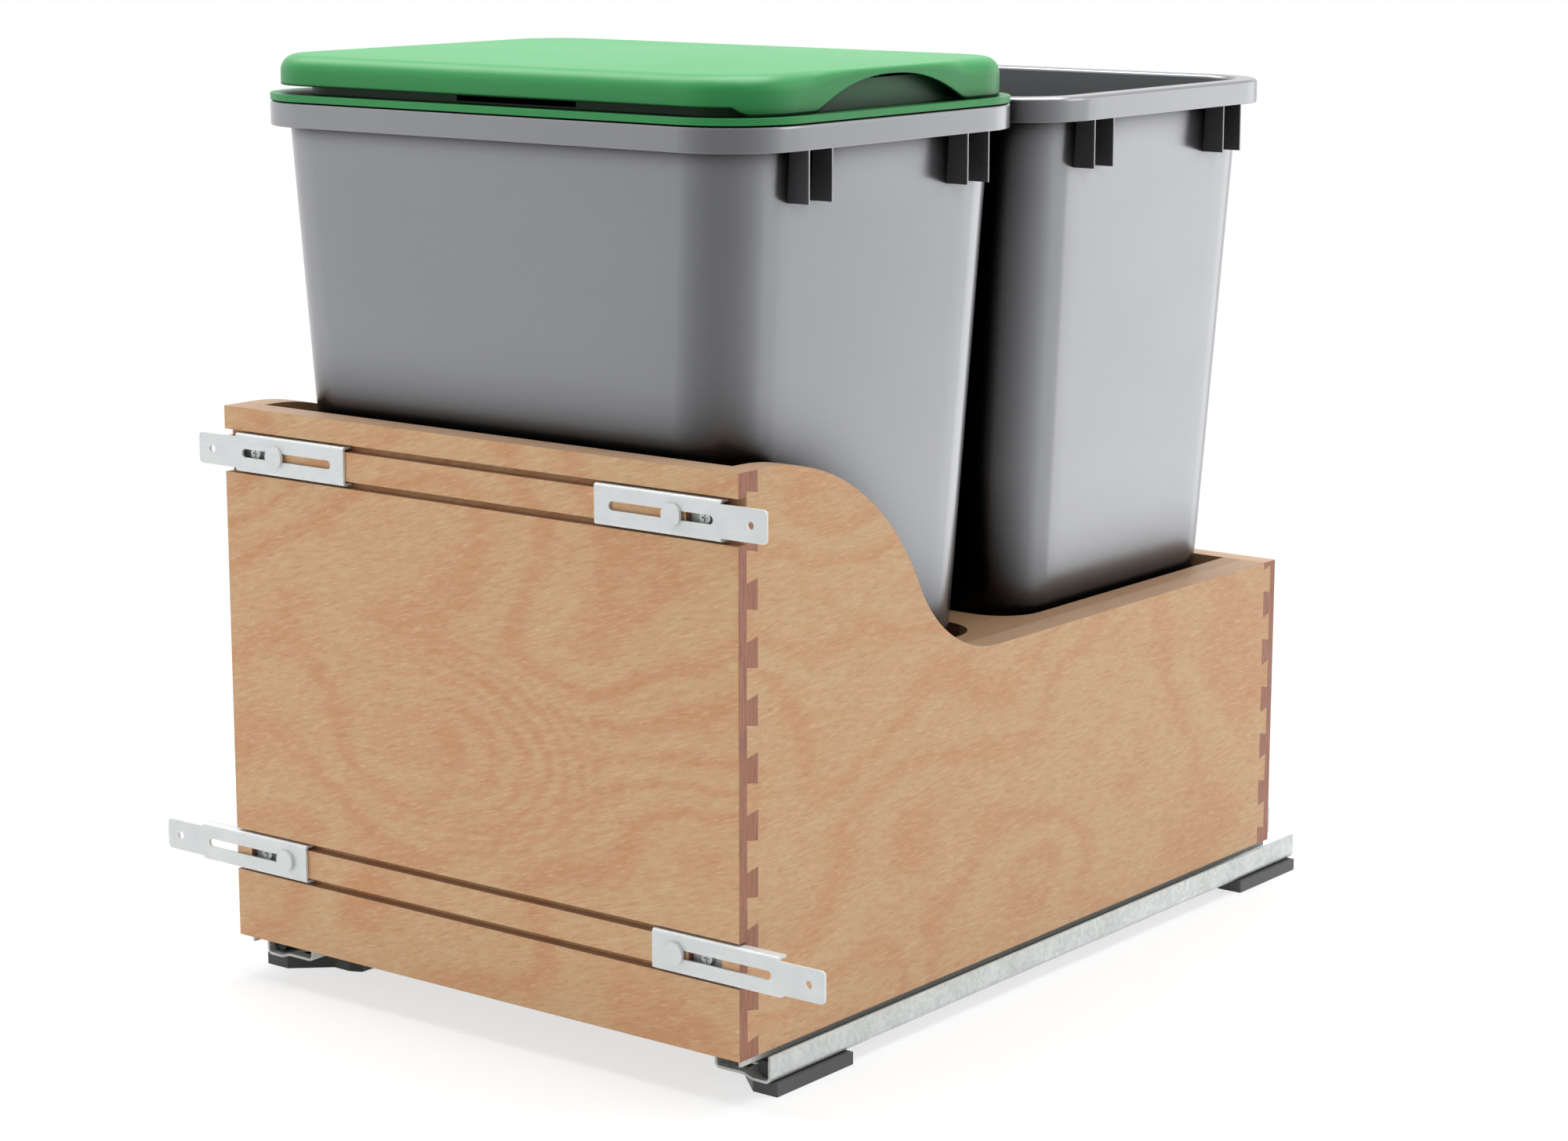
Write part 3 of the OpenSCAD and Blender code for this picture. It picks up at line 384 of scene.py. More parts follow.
@dataclass(frozen=True)
class ZincPlate:
    """Bright zinc plating on pressed steel, with a faint brushed grain."""

    name: str
    bright: Colour = tone(222, 226, 226)
    dull: Colour = tone(213, 217, 218)
    metal: float = 0.25
    rough: float = 0.4
    rough_spread: float = 0.07
    specular: float = 0.6
    brushing: Noise = Noise((60, 900, 900), 4.0, 0.6)
    patches: Noise = Noise(70.0)
    brushed_share: float = 0.4
    colour_window: Span = (0.35, 0.65)
    relief_depth: float = 0.004 * MM
    soft_edge: float = 0.15 * MM

    def build(self) -> Material:
        """Makes the plating's material.

        Returns:
            The material.
        """
        graph = Surface(self.name)
        brushed = graph.noise(graph.place, self.brushing)
        patches = graph.math("MULTIPLY", graph.noise(graph.place, self.patches), 1 - self.brushed_share)
        mottle = graph.math("MULTIPLY_ADD", brushed, self.brushed_share, patches)
        colour = graph.mix(graph.span(mottle, self.colour_window), self.bright, self.dull)
        rough_ends = (self.rough - self.rough_spread, self.rough + self.rough_spread)
        rough = graph.span(mottle, NOISE_SPAN, rough_ends)
        graph.relief(brushed, self.relief_depth, self.soft_edge)
        return graph.finish(
            Base_Color=colour, Metallic=self.metal, Roughness=rough, Specular_IOR_Level=self.specular
        )


@dataclass(frozen=True)
class Galvanised:
    """Galvanised steel strip: soft spangle, faint rolling lines and dull patches."""

    name: str
    bright: Colour = tone(210, 214, 212)
    dull: Colour = tone(189, 193, 191)
    metal: float = 0.4
    rough: Span = (0.34, 0.55)
    specular: float = 0.5
    drift: Noise = Noise(120.0)
    drift_reach: float = 6 * MM
    spangle_cells: float = 420.0
    spangle_share: float = 0.35
    patches: Noise = Noise(38.0, 4.0, 0.6)
    patch_share: float = 0.75
    rolling: Noise = Noise((900, 500, 60), 4.0, 0.6)
    rolled_share: float = 0.25
    shade_window: Span = (0.4, 0.95)
    relief_depth: float = 0.004 * MM
    soft_edge: float = 0.25 * MM

    def build(self) -> Material:
        """Makes the strip's material.

        Returns:
            The material.
        """
        graph = Surface(self.name)
        drift = graph.noise(graph.place, self.drift, "Color")
        moved = graph.vector("MULTIPLY_ADD", drift, (self.drift_reach,) * 3, graph.place)
        cells = graph.add("TexVoronoi", {"Vector": moved, "Scale": self.spangle_cells}, feature="F1")
        spangle = graph.axis(cells.outputs["Color"], "X")
        rolled = graph.noise(graph.place, self.rolling)
        shade = graph.math("MULTIPLY", graph.noise(graph.place, self.patches), self.patch_share)
        shade = graph.math("MULTIPLY_ADD", spangle, self.spangle_share, shade)
        shade = graph.math("MULTIPLY_ADD", rolled, self.rolled_share, shade)
        colour = graph.mix(graph.span(shade, self.shade_window), self.bright, self.dull)
        graph.relief(graph.math("ADD", rolled, spangle), self.relief_depth, self.soft_edge)
        rough = graph.span(shade, self.shade_window, self.rough)
        return graph.finish(
            Base_Color=colour, Metallic=self.metal, Roughness=rough, Specular_IOR_Level=self.specular
        )


@dataclass(frozen=True)
class Moulding:
    """Moulded plastic with a fine eroded texture, with painted shade: its colour is darkened where walls
    within reach hide the sky.
    """

    name: str
    colour: Colour
    shade: Colour
    rough: float = 0.4
    rough_spread: float = 0.05
    metal: float = 0.0
    specular: float = 0.5
    erosion: Noise = Noise(900.0, 4.0, 0.6)
    flow: Noise = Noise((6, 6, 14), 3.0, 0.55)
    eroded_share: float = 0.45
    relief_depth: float = 0.02 * MM
    soft_edge: float = 0.5 * MM
    # Painted shade: how far the occlusion reaches, the share of colour left where the sky is all hidden, and
    # the sky share over which the colour darkens.
    painted_shade_reach: float = 0.0
    painted_shade_darkest: float = 0.1
    painted_shade_window: Span = (0.4, 0.85)

    def build(self) -> Material:
        """Makes the plastic's material.

        Returns:
            The material.
        """
        graph = Surface(self.name)
        eroded = graph.noise(graph.place, self.erosion)
        flow = graph.math("MULTIPLY", graph.noise(graph.place, self.flow), 1 - self.eroded_share)
        mottle = graph.math("MULTIPLY_ADD", eroded, self.eroded_share, flow)
        colour = graph.mix(graph.span(mottle, NOISE_SPAN), self.colour, self.shade)
        # Painted shade: the ambient occlusion darkens the colour in gaps, corners and under overhangs.
        if self.painted_shade_reach:
            sky = graph.add("AmbientOcclusion", {"Distance": self.painted_shade_reach}, samples=PAINTED_SHADE_SAMPLES)
            light = graph.span(sky.outputs["AO"], self.painted_shade_window, (self.painted_shade_darkest, 1.0))
            colour = graph.mix(1.0, colour, light, "MULTIPLY")
        rough_ends = (self.rough - self.rough_spread, self.rough + self.rough_spread)
        rough = graph.span(mottle, NOISE_SPAN, rough_ends)
        graph.relief(eroded, self.relief_depth, self.soft_edge)
        return graph.finish(
            Base_Color=colour, Metallic=self.metal, Roughness=rough, Specular_IOR_Level=self.specular
        )


class Finishes:
    """The part's finishes, each made once."""

    def __init__(self) -> None:
        """Makes every finish that more than one piece shares."""
        self.zinc = ZincPlate("zinc_plate").build()
        self.screw_zinc = ZincPlate(
            "screw_zinc", tone(222, 224, 224), tone(198, 202, 203), metal=0.35, rough=0.35
        ).build()
        self.galvanised = Galvanised("galvanised_strip").build()
        self.spacer = Moulding("spacer_plastic", tone(76, 79, 77), tone(65, 67, 66), rough=0.55).build()
        self.black = Moulding("black_plastic", tone(40, 41, 42), tone(30, 31, 32), rough=0.45).build()
        # The bins' plastic carries painted shade from the occlusion, darkest in the gaps by the box and
        # between the bins.
        self.bin = Moulding(
            "bin_plastic", tone(156, 157, 160), tone(151, 152, 155),
            rough=0.24, rough_spread=0.02, metal=0.9,
            erosion=Noise(1400.0, 4.0, 0.6), relief_depth=0.0003 * MM, soft_edge=0.6 * MM,
            painted_shade_reach=85 * MM, painted_shade_darkest=0.02, painted_shade_window=(0.48, 0.92),
        ).build()
        # A darker, rougher copy of the bin's plastic for its inside: painted shade for the dim inside,
        # besides the occlusion's painted shade.
        self.shaded_bin_inside = Moulding(
            "bin_inside_painted_shade", tone(124, 126, 128), tone(118, 120, 122),
            rough=0.42, metal=0.2, specular=0.4,
            erosion=Noise(1400.0, 4.0, 0.6), relief_depth=0.0006 * MM, soft_edge=0.6 * MM,
            painted_shade_reach=300 * MM, painted_shade_darkest=0.35,
        ).build()
        # The fins are the bin's grey plastic; this dark copy on their side faces is painted shade.
        self.fin = Moulding("fin_painted_shade", tone(70, 71, 73), tone(60, 61, 63), rough=0.45, metal=0.2).build()
        # The lid's plastic carries painted shade from the occlusion, in the gap under the flap.
        self.lid = Moulding(
            "lid_plastic", tone(46, 139, 74), tone(42, 132, 70),
            specular=0.4,
            erosion=Noise(1100.0, 4.0, 0.6), relief_depth=0.008 * MM, soft_edge=0.6 * MM,
            painted_shade_reach=40 * MM, painted_shade_darkest=0.15,
        ).build()


def dress(node: str, material: Material) -> None:
    """Gives a CAD node its finish.

    Args:
        node: The node's name.
        material: The finish.
    """
    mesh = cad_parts[node].data
    mesh.materials.clear()
    mesh.materials.append(material)
    LOG.info("dressed %s in %s", node, material.name)


@dataclass
class Shell:
    """A mesh that grows ring by ring. Its inside starts at the face numbered inside_from."""

    points: list[Point] = field(default_factory=list)
    faces: list[tuple[int, ...]] = field(default_factory=list)
    inside_from: int = 0

    def ring(self, points: Sequence[Point]) -> list[int]:
        """Adds a ring of points, and gives their numbers."""
        self.points.extend(points)
        return list(range(len(self.points) - len(points), len(self.points)))

    def bridge(self, first: Sequence[int], second: Sequence[int]) -> None:
        """Joins two closed rings with quads.

        Args:
            first: The first ring's point numbers.
            second: The second ring's, as many.
        """
        count = len(first)
        for i in range(count):
            j = (i + 1) % count
            self.faces.append((first[i], first[j], second[j], second[i]))

    def loft(self, rings: Sequence[Sequence[Point]]) -> list[list[int]]:
        """Adds rings and joins each to the next.

        Args:
            rings: The rings' points, all of the same count.

        Returns:
            The rings' point numbers.
        """
        numbers = [self.ring(ring) for ring in rings]
        for first, second in zip(numbers, numbers[1:]):
            self.bridge(first, second)
        return numbers

    def cap(self, ring: Sequence[int], centre: Point, flip: bool = False) -> None:
        """Closes a ring with a fan to its centre.

        Args:
            ring: The ring's point numbers.
            centre: The fan's middle point.
            flip: Whether the fan faces the other way.
        """
        middle = self.ring([centre])[0]
        for i, first in enumerate(ring):
            second = ring[(i + 1) % len(ring)]
            self.faces.append((second, first, middle) if flip else (first, second, middle))

    def piece(
        self, name: str, body: str, slot: str, material: Material, inside: Material | None = None
    ) -> bpy.types.Object:
        """Makes the object and sets it on its body.

        Args:
            name: The piece's name.
            body: The CAD body that it moves with.
            slot: A material slot's name; not used.
            material: The piece's finish.
            inside: The finish of its inside, where it differs.

        Returns:
            The new object.
        """
        mesh = bpy.data.meshes.new(name)
        mesh.from_pydata(self.points, [], self.faces)
        mesh.materials.append(material)
        if inside:
            mesh.materials.append(inside)
            inner = [int(i >= self.inside_from) for i in range(len(self.faces))]
            mesh.polygons.foreach_set("material_index", inner)
        mesh.polygons.foreach_set("use_smooth", [True] * len(mesh.polygons))
        mesh.update()
        piece = bpy.data.objects.new(name, mesh)
        bpy.context.scene.collection.objects.link(piece)
        piece.modifiers.new("even_normals", "WEIGHTED_NORMAL").weight = NORMAL_WEIGHT
        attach(piece, body)
        LOG.info("built %s on %s", name, body)
        return piece


@dataclass(frozen=True)
class Outline:
    """A rectangle with round corners, as points with their outward directions."""

    half_w: float
    half_d: float
    radius: float
    corner_steps: int = 12
    x_steps: int = 14
    y_steps: int = 14

    def points(self) -> list[tuple[float, float, float, float]]:
        """Walks round the outline, anticlockwise from above.

        Returns:
            X, Y and the outward direction's X and Y of each point.
        """
        walk = []
        flat_w, flat_d = self.half_w - self.radius, self.half_d - self.radius
        corners = [(flat_w, -flat_d), (flat_w, flat_d), (-flat_w, flat_d), (-flat_w, -flat_d)]
        for turn, (x, y) in enumerate(corners):
            for step in range(self.corner_steps + 1):
                angle = math.radians(90 * (turn - 1 + step / self.corner_steps))
                out = (math.cos(angle), math.sin(angle))
                walk.append((x + self.radius * out[0], y + self.radius * out[1], *out))
            following = corners[(turn + 1) % 4]
            steps = self.y_steps if turn % 2 == 0 else self.x_steps
            out = (1 - turn, 0) if turn % 2 == 0 else (0, 2 - turn)
            for step in range(1, steps):
                share = step / steps
                walk.append((
                    x + (following[0] - x) * share + self.radius * out[0],
                    y + (following[1] - y) * share + self.radius * out[1],
                    *out,
                ))
        return walk

    def ring(self, centre: Pair, z: float) -> list[Point]:
        """Gives the outline's points at one height, round a centre in X and Y."""
        return [(centre[0] + x, centre[1] + y, z) for x, y, _, _ in self.points()]


@dataclass
class WasteBin:
    """A tapered bin with a turned-down rim and pairs of fins under it."""

    name: str
    body: str
    middle_y: float
    base_z: float = 46 * MM
    height: float = 454 * MM
    base_half: Pair = (138.5 * MM, 108.5 * MM)
    top_half: Pair = (166.5 * MM, 122.5 * MM)
    radius: float = 37 * MM
    wall: float = 2.5 * MM
    wall_steps: int = 9
    base_edge: float = 8 * MM
    base_edge_steps: int = 6
    rim_half: Pair = (178.5 * MM, 130.5 * MM)
    rim_radius: float = 45 * MM
    rim_height: float = 14 * MM
    rim_edge: float = 2.4 * MM
    rim_edge_steps: int = 6
    lip_edge: float = 2.2 * MM
    lip_edge_steps: int = 4
    # The rim's foot has a chamfer on its inside, given as inset and rise, and a soft edge on its outside.
    foot_chamfer: Pair = (0.6 * MM, 0.5 * MM)
    foot_edge: float = 0.7 * MM
    foot_edge_middle: float = 0.2 * MM
    fin_height: float = 27 * MM
    fin_thickness: float = 1.4 * MM
    fin_places: Pair = (60 * MM, 79.5 * MM)
    fin_inset: float = 0.1 * MM
    fin_root: float = 0.8 * MM
    fin_soft: float = 0.25 * MM
    # Fin faces that point along X more than this keep the bin's finish; the others get the dark copy, which
    # is painted shade.
    fin_lit_edge_facing: float = 0.5

    def half(self, height: float, inset: float) -> Pair:
        """Gives the body's half width and half depth at a height, drawn in by an inset."""
        share = height / (self.height - self.rim_height)
        return tuple(low + (high - low) * share - inset for low, high in zip(self.base_half, self.top_half))

    def body_ring(self, height: float, inset: float) -> list[Point]:
        """Gives a ring of the tapered body, drawn in by an inset."""
        half = self.half(height, inset)
        return Outline(*half, self.radius - inset).ring((0.0, self.middle_y), self.base_z + height)

    def rim_ring(self, height: float, inset: float) -> list[Point]:
        """Gives a ring of the rim, drawn in by an inset."""
        half = (size - inset for size in self.rim_half)
        return Outline(*half, self.rim_radius - inset).ring((0.0, self.middle_y), self.base_z + height)

    def outer_rings(self) -> Rings:
        """Gives the rings from the base's edge up the outside, round the rim and over its lip.

        Returns:
            The rings.
        """
        under = self.height - self.wall
        base = quarter_turn(self.base_edge, self.base_edge_steps)
        rings = [self.body_ring(rise, inset) for rise, inset in base]
        for step in range(1, self.wall_steps + 1):
            rise = (under - self.base_edge) * step / self.wall_steps
            rings.append(self.body_ring(self.base_edge + rise, 0.0))
        rings += self.skirt_rings()
        for inset, drop in quarter_turn(self.rim_edge, self.rim_edge_steps):
            rings.append(self.rim_ring(self.height - drop, inset))
        for drop, inset in quarter_turn(self.lip_edge, self.lip_edge_steps):
            rings.append(self.body_ring(self.height - drop, self.wall - inset))
        return rings

    def skirt_rings(self) -> Rings:
        """Gives the rings down the inside of the rim's skirt and round its foot.

        Returns:
            The rings.
        """
        under, foot = self.height - self.wall, self.height - self.rim_height
        chamfer_inset, chamfer_rise = self.foot_chamfer
        return [
            self.rim_ring(under, self.wall + self.lip_edge),
            self.rim_ring(under - self.lip_edge, self.wall),
            self.rim_ring(foot + chamfer_rise, self.wall),
            self.rim_ring(foot, self.wall - chamfer_inset),
            self.rim_ring(foot, self.foot_edge),
            self.rim_ring(foot + self.foot_edge_middle, self.foot_edge_middle),
            self.rim_ring(foot + self.foot_edge, 0.0),
        ]

    def inner_rings(self) -> Rings:
        """Gives the rings from the lip down the inside to the base.

        Returns:
            The rings.
        """
        edge = self.base_edge - self.wall / 2
        rings = []
        for step in range(1, self.wall_steps + 1):
            drop = (self.height - self.wall - edge) * step / self.wall_steps
            rings.append(self.body_ring(self.height - drop, self.wall))
        for inset, rise in quarter_turn(edge, self.base_edge_steps)[1:]:
            rings.append(self.body_ring(self.wall + rise, self.wall + inset))
        return rings

    def shell(self) -> Shell:
        """Lofts the bin's outside, rim and inside as one skin.

        Returns:
            The skin.
        """
        skin = Shell()
        outer = skin.loft(self.outer_rings())
        skin.cap(outer[0], (0.0, self.middle_y, self.base_z), flip=True)
        skin.inside_from = len(skin.faces)
        inner = skin.loft(self.inner_rings())
        skin.bridge(outer[-1], inner[0])
        skin.cap(inner[-1], (0.0, self.middle_y, self.base_z + self.wall))
        return skin

    def fins(self) -> Shell:
        """Makes the thin plates between the body and the rim's skirt.

        Returns:
            The plates.
        """
        skin = Shell()
        foot = self.height - self.rim_height - self.fin_height
        head = self.height - self.wall
        outside = self.rim_half[0] - self.fin_inset
        root_low = self.half(foot, self.fin_root)[0]
        root_high = self.half(head, self.fin_root)[0]
        corners = [(root_low, foot), (outside, foot), (outside, head), (root_high, head)]
        for side in (-1, 1):
            for place in (-self.fin_places[1], -self.fin_places[0], *self.fin_places):
                numbers = skin.loft(self.fin_rings(corners, side, self.middle_y + place))
                skin.faces.append(tuple(reversed(numbers[0])))
                skin.faces.append(tuple(numbers[-1]))
        return skin

    def fin_rings(self, corners: list[Pair], side: int, middle: float) -> Rings:
        """Gives the rings of one plate, with soft edges.

        Args:
            corners: The plate's corners: how far out they lie, and how high above the bin's base.
            side: 1 for the bin's right side and -1 for its left one.
            middle: The plate's middle in Y.

        Returns:
            The rings.
        """
        centre_x = sum(x for x, _ in corners) / len(corners)
        centre_z = sum(z for _, z in corners) / len(corners)
        soft = self.fin_soft
        rings = []
        for across, inset in ((-1, soft), (-1, 0.0), (1, 0.0), (1, soft)):
            y = middle + across * (self.fin_thickness / 2 - (soft - inset))
            ring = []
            for x, z in corners:
                drawn_x = x + math.copysign(inset, centre_x - x)
                drawn_z = z + math.copysign(inset, centre_z - z)
                ring.append((side * drawn_x, y, self.base_z + drawn_z))
            rings.append(ring)
        return rings

    def build(self, finishes: Finishes) -> None:
        """Builds the bin and dresses it. The fins' outer edges have the bin's own finish, and their other
        faces a dark copy of it: painted shade.

        Args:
            finishes: The part's finishes.
        """
        # The inside of the skin gets the darker copy of the bin's plastic: painted shade.
        shell = self.shell().piece(
            self.name + "_shell", self.body, "bin_plastic", finishes.bin, finishes.shaded_bin_inside
        )
        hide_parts(self.name)
        fins = self.fins().piece(self.name + "_fins", self.body, "bin_plastic", finishes.fin)
        fins.data.materials.append(finishes.bin)
        # Painted shade: the fins' side faces get the dark copy, and only their outer edges get the bin's
        # plastic.
        for polygon in fins.data.polygons:
            polygon.use_smooth = False
            polygon.material_index = int(abs(polygon.normal.x) > self.fin_lit_edge_facing)


@dataclass
class Lid:
    """The front bin's lid: its frame from the CAD model and a soft-edged flap."""

    middle_y: float = FRONT_BIN_Y
    flange_z: float = 503.5 * MM
    half: Pair = (172.5 * MM, 124.5 * MM)
    radius: float = 39 * MM
    outline_steps: tuple[int, int, int] = (14, 22, 72)
    height: float = 21.5 * MM
    wall: float = 2.5 * MM
    edge: float = 9 * MM
    least_edge: float = 0.4 * MM
    edge_drop: float = 0.6 * MM
    crown: float = 0.8 * MM
    crown_steps: tuple[float, ...] = (0.92, 0.8, 0.6, 0.4, 0.2)
    outer_levels: int = 16
    inner_levels: int = 10
    # The skirt ends a gap above the flange, and reaches deeper at its right end, where the finger arch is.
    short_gap: float = 4.7 * MM
    deep_gap: float = 0.3 * MM
    deep_window: Span = (158 * MM, 163 * MM)
    arch_half: float = 64 * MM
    arch_height: float = 17.2 * MM
    arch_power: float = 2.3
    arch_foot: float = 0.004
    arch_edge: float = 2 * MM
    hinge: Pair = (-164.1 * MM, 515 * MM)
    knuckle_start: float = 80.9 * MM
    knuckle_width: float = 4.5 * MM
    knuckle_radius: float = 4 * MM
    knuckle_gap: float = 0.3 * MM
    knuckle_soft: float = 0.3 * MM
    knuckle_steps: int = 36
    bore_radius: float = 2.05 * MM

    def foot(self, x: float, y: float) -> float:
        """Gives the height of the skirt's lower edge above the flange, at a place from the lid's middle."""
        gap = self.short_gap + (self.deep_gap - self.short_gap) * smooth_step(*self.deep_window, x)
        return gap + (self.arch_height - self.deep_gap) * self.arch(x, y)

    def arch(self, x: float, y: float) -> float:
        """Gives the finger arch's height, with soft feet.

        Args:
            x: The place across the lid.
            y: The place along the lid, from its middle.

        Returns:
            The share of the arch's full height.
        """
        if x < self.deep_window[1]:
            return 0.0
        rise = 1 - (abs(y) / self.arch_half) ** self.arch_power
        return (rise + math.sqrt(rise * rise + self.arch_foot)) / 2

    def column(self, inset: float, top: float, edge: float, foot: float, share: float) -> Pair:
        """Gives a point of the skirt's section.

        Args:
            inset: How far the section is drawn in at its foot.
            top: The section's top above the flange.
            edge: The radius of its top edge.
            foot: Where the section starts above the flange.
            share: How far up the section the point is.

        Returns:
            How far the point is drawn in, and its height above the flange.
        """
        bend = top - edge
        straight = max(0.0, bend - foot)
        start = math.asin(min(1.0, max(0.0, (foot - bend) / edge)))
        length = straight + edge * (math.pi / 2 - start)
        along = share * length
        if along < straight:
            return inset, foot + along
        angle = start + (along - straight) / edge
        return inset + edge * (1 - math.cos(angle)), bend + edge * math.sin(angle)

    def skin_rings(self, inset: float, top: float, levels: int) -> Rings:
        """Makes the rings of the flap's outer or inner skin, from its foot to its middle.

        Args:
            inset: How far the skin is drawn in.
            top: The skin's top above the flange.
            levels: The rings up the skirt.

        Returns:
            The rings.
        """
        walk = Outline(*self.half, self.radius, *self.outline_steps).points()
        rings = []
        for level in range(levels + 1):
            ring = []
            for x, y, out_x, out_y in walk:
                fuller = math.sqrt(self.arch(x, y))
                edge = self.edge + (self.arch_edge - self.edge) * fuller
                edge = max(edge - inset, self.least_edge)
                drawn, z = self.column(inset, top, edge, self.foot(x, y), level / levels)
                ring.append((x - out_x * drawn, self.middle_y + y - out_y * drawn, self.flange_z + z))
            rings.append(ring)
        last = rings[-1]
        for step in self.crown_steps:
            rise = self.crown * (1 - step * step)
            rings.append([
                (x * step, self.middle_y + (y - self.middle_y) * step, z + rise) for x, y, z in last
            ])
        return rings

    def flap(self) -> Shell:
        """Lofts the flap's two skins as one.

        Returns:
            The flap.
        """
        skin = Shell()
        top = self.height - self.edge_drop
        outer = skin.loft(self.skin_rings(0.0, top, self.outer_levels))
        skin.cap(outer[-1], (0.0, self.middle_y, self.flange_z + top + self.crown))
        inner_top = top - self.wall
        inner_rings = self.skin_rings(self.wall, inner_top, self.inner_levels)
        inner = skin.loft(list(reversed(inner_rings)))
        skin.cap(inner[0], (0.0, self.middle_y, self.flange_z + inner_top + self.crown), flip=True)
        skin.bridge(inner[-1], outer[0])
        return skin

    def circle(self) -> list[Pair]:
        """Walks round a circle of radius 1, a point for each of a barrel's steps."""
        angles = [FULL_TURN * step / self.knuckle_steps for step in range(self.knuckle_steps)]
        return [(math.cos(angle), math.sin(angle)) for angle in angles]

    def barrel(self, inset: float) -> list[Pair]:
        """Gives the outline of a knuckle's barrel, with its web up to the flap.

        Args:
            inset: How far the outline is drawn in.

        Returns:
            X and Z of its points, from the hinge's axis.
        """
        web = self.flange_z + self.height - self.wall - self.knuckle_gap - self.hinge[1]
        radius = self.knuckle_radius
        points = []
        for x, z in self.circle():
            if z > 0:
                scale = min(1 / max(abs(x), TINY), web / radius / max(z, TINY))
                x, z = x * scale, z * scale
            points.append((x * (radius - inset), z * (radius - inset)))
        return points

    def knuckles(self) -> Shell:
        """Makes the two barrels that turn on the hinge pins, each with its web.

        Returns:
            The barrels.
        """
        skin = Shell()
        hinge_x, hinge_z = self.hinge
        soft = self.knuckle_soft
        bore = [(self.bore_radius * x, self.bore_radius * z) for x, z in self.circle()]
        drawn, full = self.barrel(soft), self.barrel(0.0)
        for side in (-1, 1):
            start = self.knuckle_start * side
            end = (self.knuckle_start + self.knuckle_width) * side
            low, high = sorted((start, end))
            sections = [
                (bore, low), (drawn, low), (full, low + soft),
                (full, high - soft), (drawn, high), (bore, high), (bore, low),
            ]
            skin.loft([
                [(hinge_x + x, self.middle_y + y, hinge_z + z) for x, z in section]
                for section, y in sections
            ])
        return skin

    def build(self, finishes: Finishes) -> None:
        """Builds the flap and dresses the lid.

        Args:
            finishes: The part's finishes.
        """
        flap = self.flap().piece("lid_flap_shell", "flap", "lid_plastic", finishes.lid)
        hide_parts("lid_flap")
        knuckles = self.knuckles().piece("lid_flap_knuckles", "flap", "lid_plastic", finishes.lid)
        for polygon in knuckles.data.polygons:
            polygon.use_smooth = False
        dress("lid_frame", finishes.lid)
        dress("lid_hinge_pins", finishes.screw_zinc)


@dataclass
class WoodenBox:
    """The dovetailed box with its floor, tray and battens."""

    front_eye: Pair = (-40 * MM, 160 * MM)
    # Painted shade on up-facing faces: the back panel's top edge lighter than the boards' usual top colour,
    # and the tray's face darker for the shade by the bins.
    back_top_painted_shade: Colour = tone(196, 164, 138)
    tray_painted_shade: Colour = tone(140, 110, 86)

    def boards(self) -> dict[str, Maple]:
        """Gives each board its veneer, cut from a place of its own in the figure.

        Returns:
            The veneers by node.
        """
        return {
            "front_panel": Maple(
                "front_veneer", Grain.ACROSS, seed=0.4, level_lines=20.0, band_strength=0.52, lean=0.3,
                dash_strength=0.3, eye=self.front_eye, eye_strength=0.9,
            ),
            "right_side_panel": Maple("right_veneer", Grain.DEEP, seed=2.3),
            "left_side_panel": Maple("left_veneer", Grain.DEEP, seed=7.1),
            "back_panel": Maple("back_veneer", Grain.ACROSS, seed=11.4, top=self.back_top_painted_shade),
            "floor_panel": Maple("floor_veneer", Grain.FLAT, seed=15.2),
            "bin_tray": Maple("tray_veneer", Grain.FLAT, seed=19.8, top=self.tray_painted_shade),
            "left_tray_cleat": Maple("left_batten", Grain.DEEP, seed=23.5),
            "right_tray_cleat": Maple("right_batten", Grain.DEEP, seed=27.9),
        }

    def build(self, finishes: Finishes) -> None:
        """Dresses the boards and their screws.

        Args:
            finishes: The part's finishes.
        """
        for node, veneer in self.boards().items():
            dress(node, veneer.build())
        for node in ("tray_screws", "cleat_screws"):
            dress(node, finishes.screw_zinc)


@dataclass
class DoorBrackets:
    """The slotted brackets that carry the door, with their studs and clamps."""

    rows: tuple[str, str] = ("upper", "lower")
    sides: tuple[str, str] = ("left", "right")

    def build(self, finishes: Finishes) -> None:
        """Dresses the brackets and what holds them.

        Args:
            finishes: The part's finishes.
        """
        for row in self.rows:
            for side in self.sides:
                dress(f"{row}_{side}_bracket", finishes.zinc)
        dress("bracket_studs", finishes.zinc)
        dress("bracket_clamps", finishes.galvanised)
        dress("bracket_lock_screws", finishes.screw_zinc)


@dataclass
class Runners:
    """The two full-extension runners on their spacers."""

    sides: tuple[str, str] = ("left", "right")

    def build(self, finishes: Finishes) -> None:
        """Dresses the rails, cages, rollers, dampers and spacers.

        Args:
            finishes: The part's finishes.
        """
        for side in self.sides:
            for rail in ("cabinet_rail", "middle_rail", "drawer_rail"):
                dress(f"{side}_{rail}", finishes.galvanised)
            for level in ("lower", "upper"):
                dress(f"{side}_{level}_cage", finishes.black)
                dress(f"{side}_{level}_rollers", finishes.screw_zinc)
            dress(f"{side}_damper", finishes.black)
            for end in ("front", "rear"):
                dress(f"{side}_{end}_spacer", finishes.spacer)
        for node in ("spacer_screws", "drawer_rail_screws", "rear_tab_screws"):
            dress(node, finishes.screw_zinc)


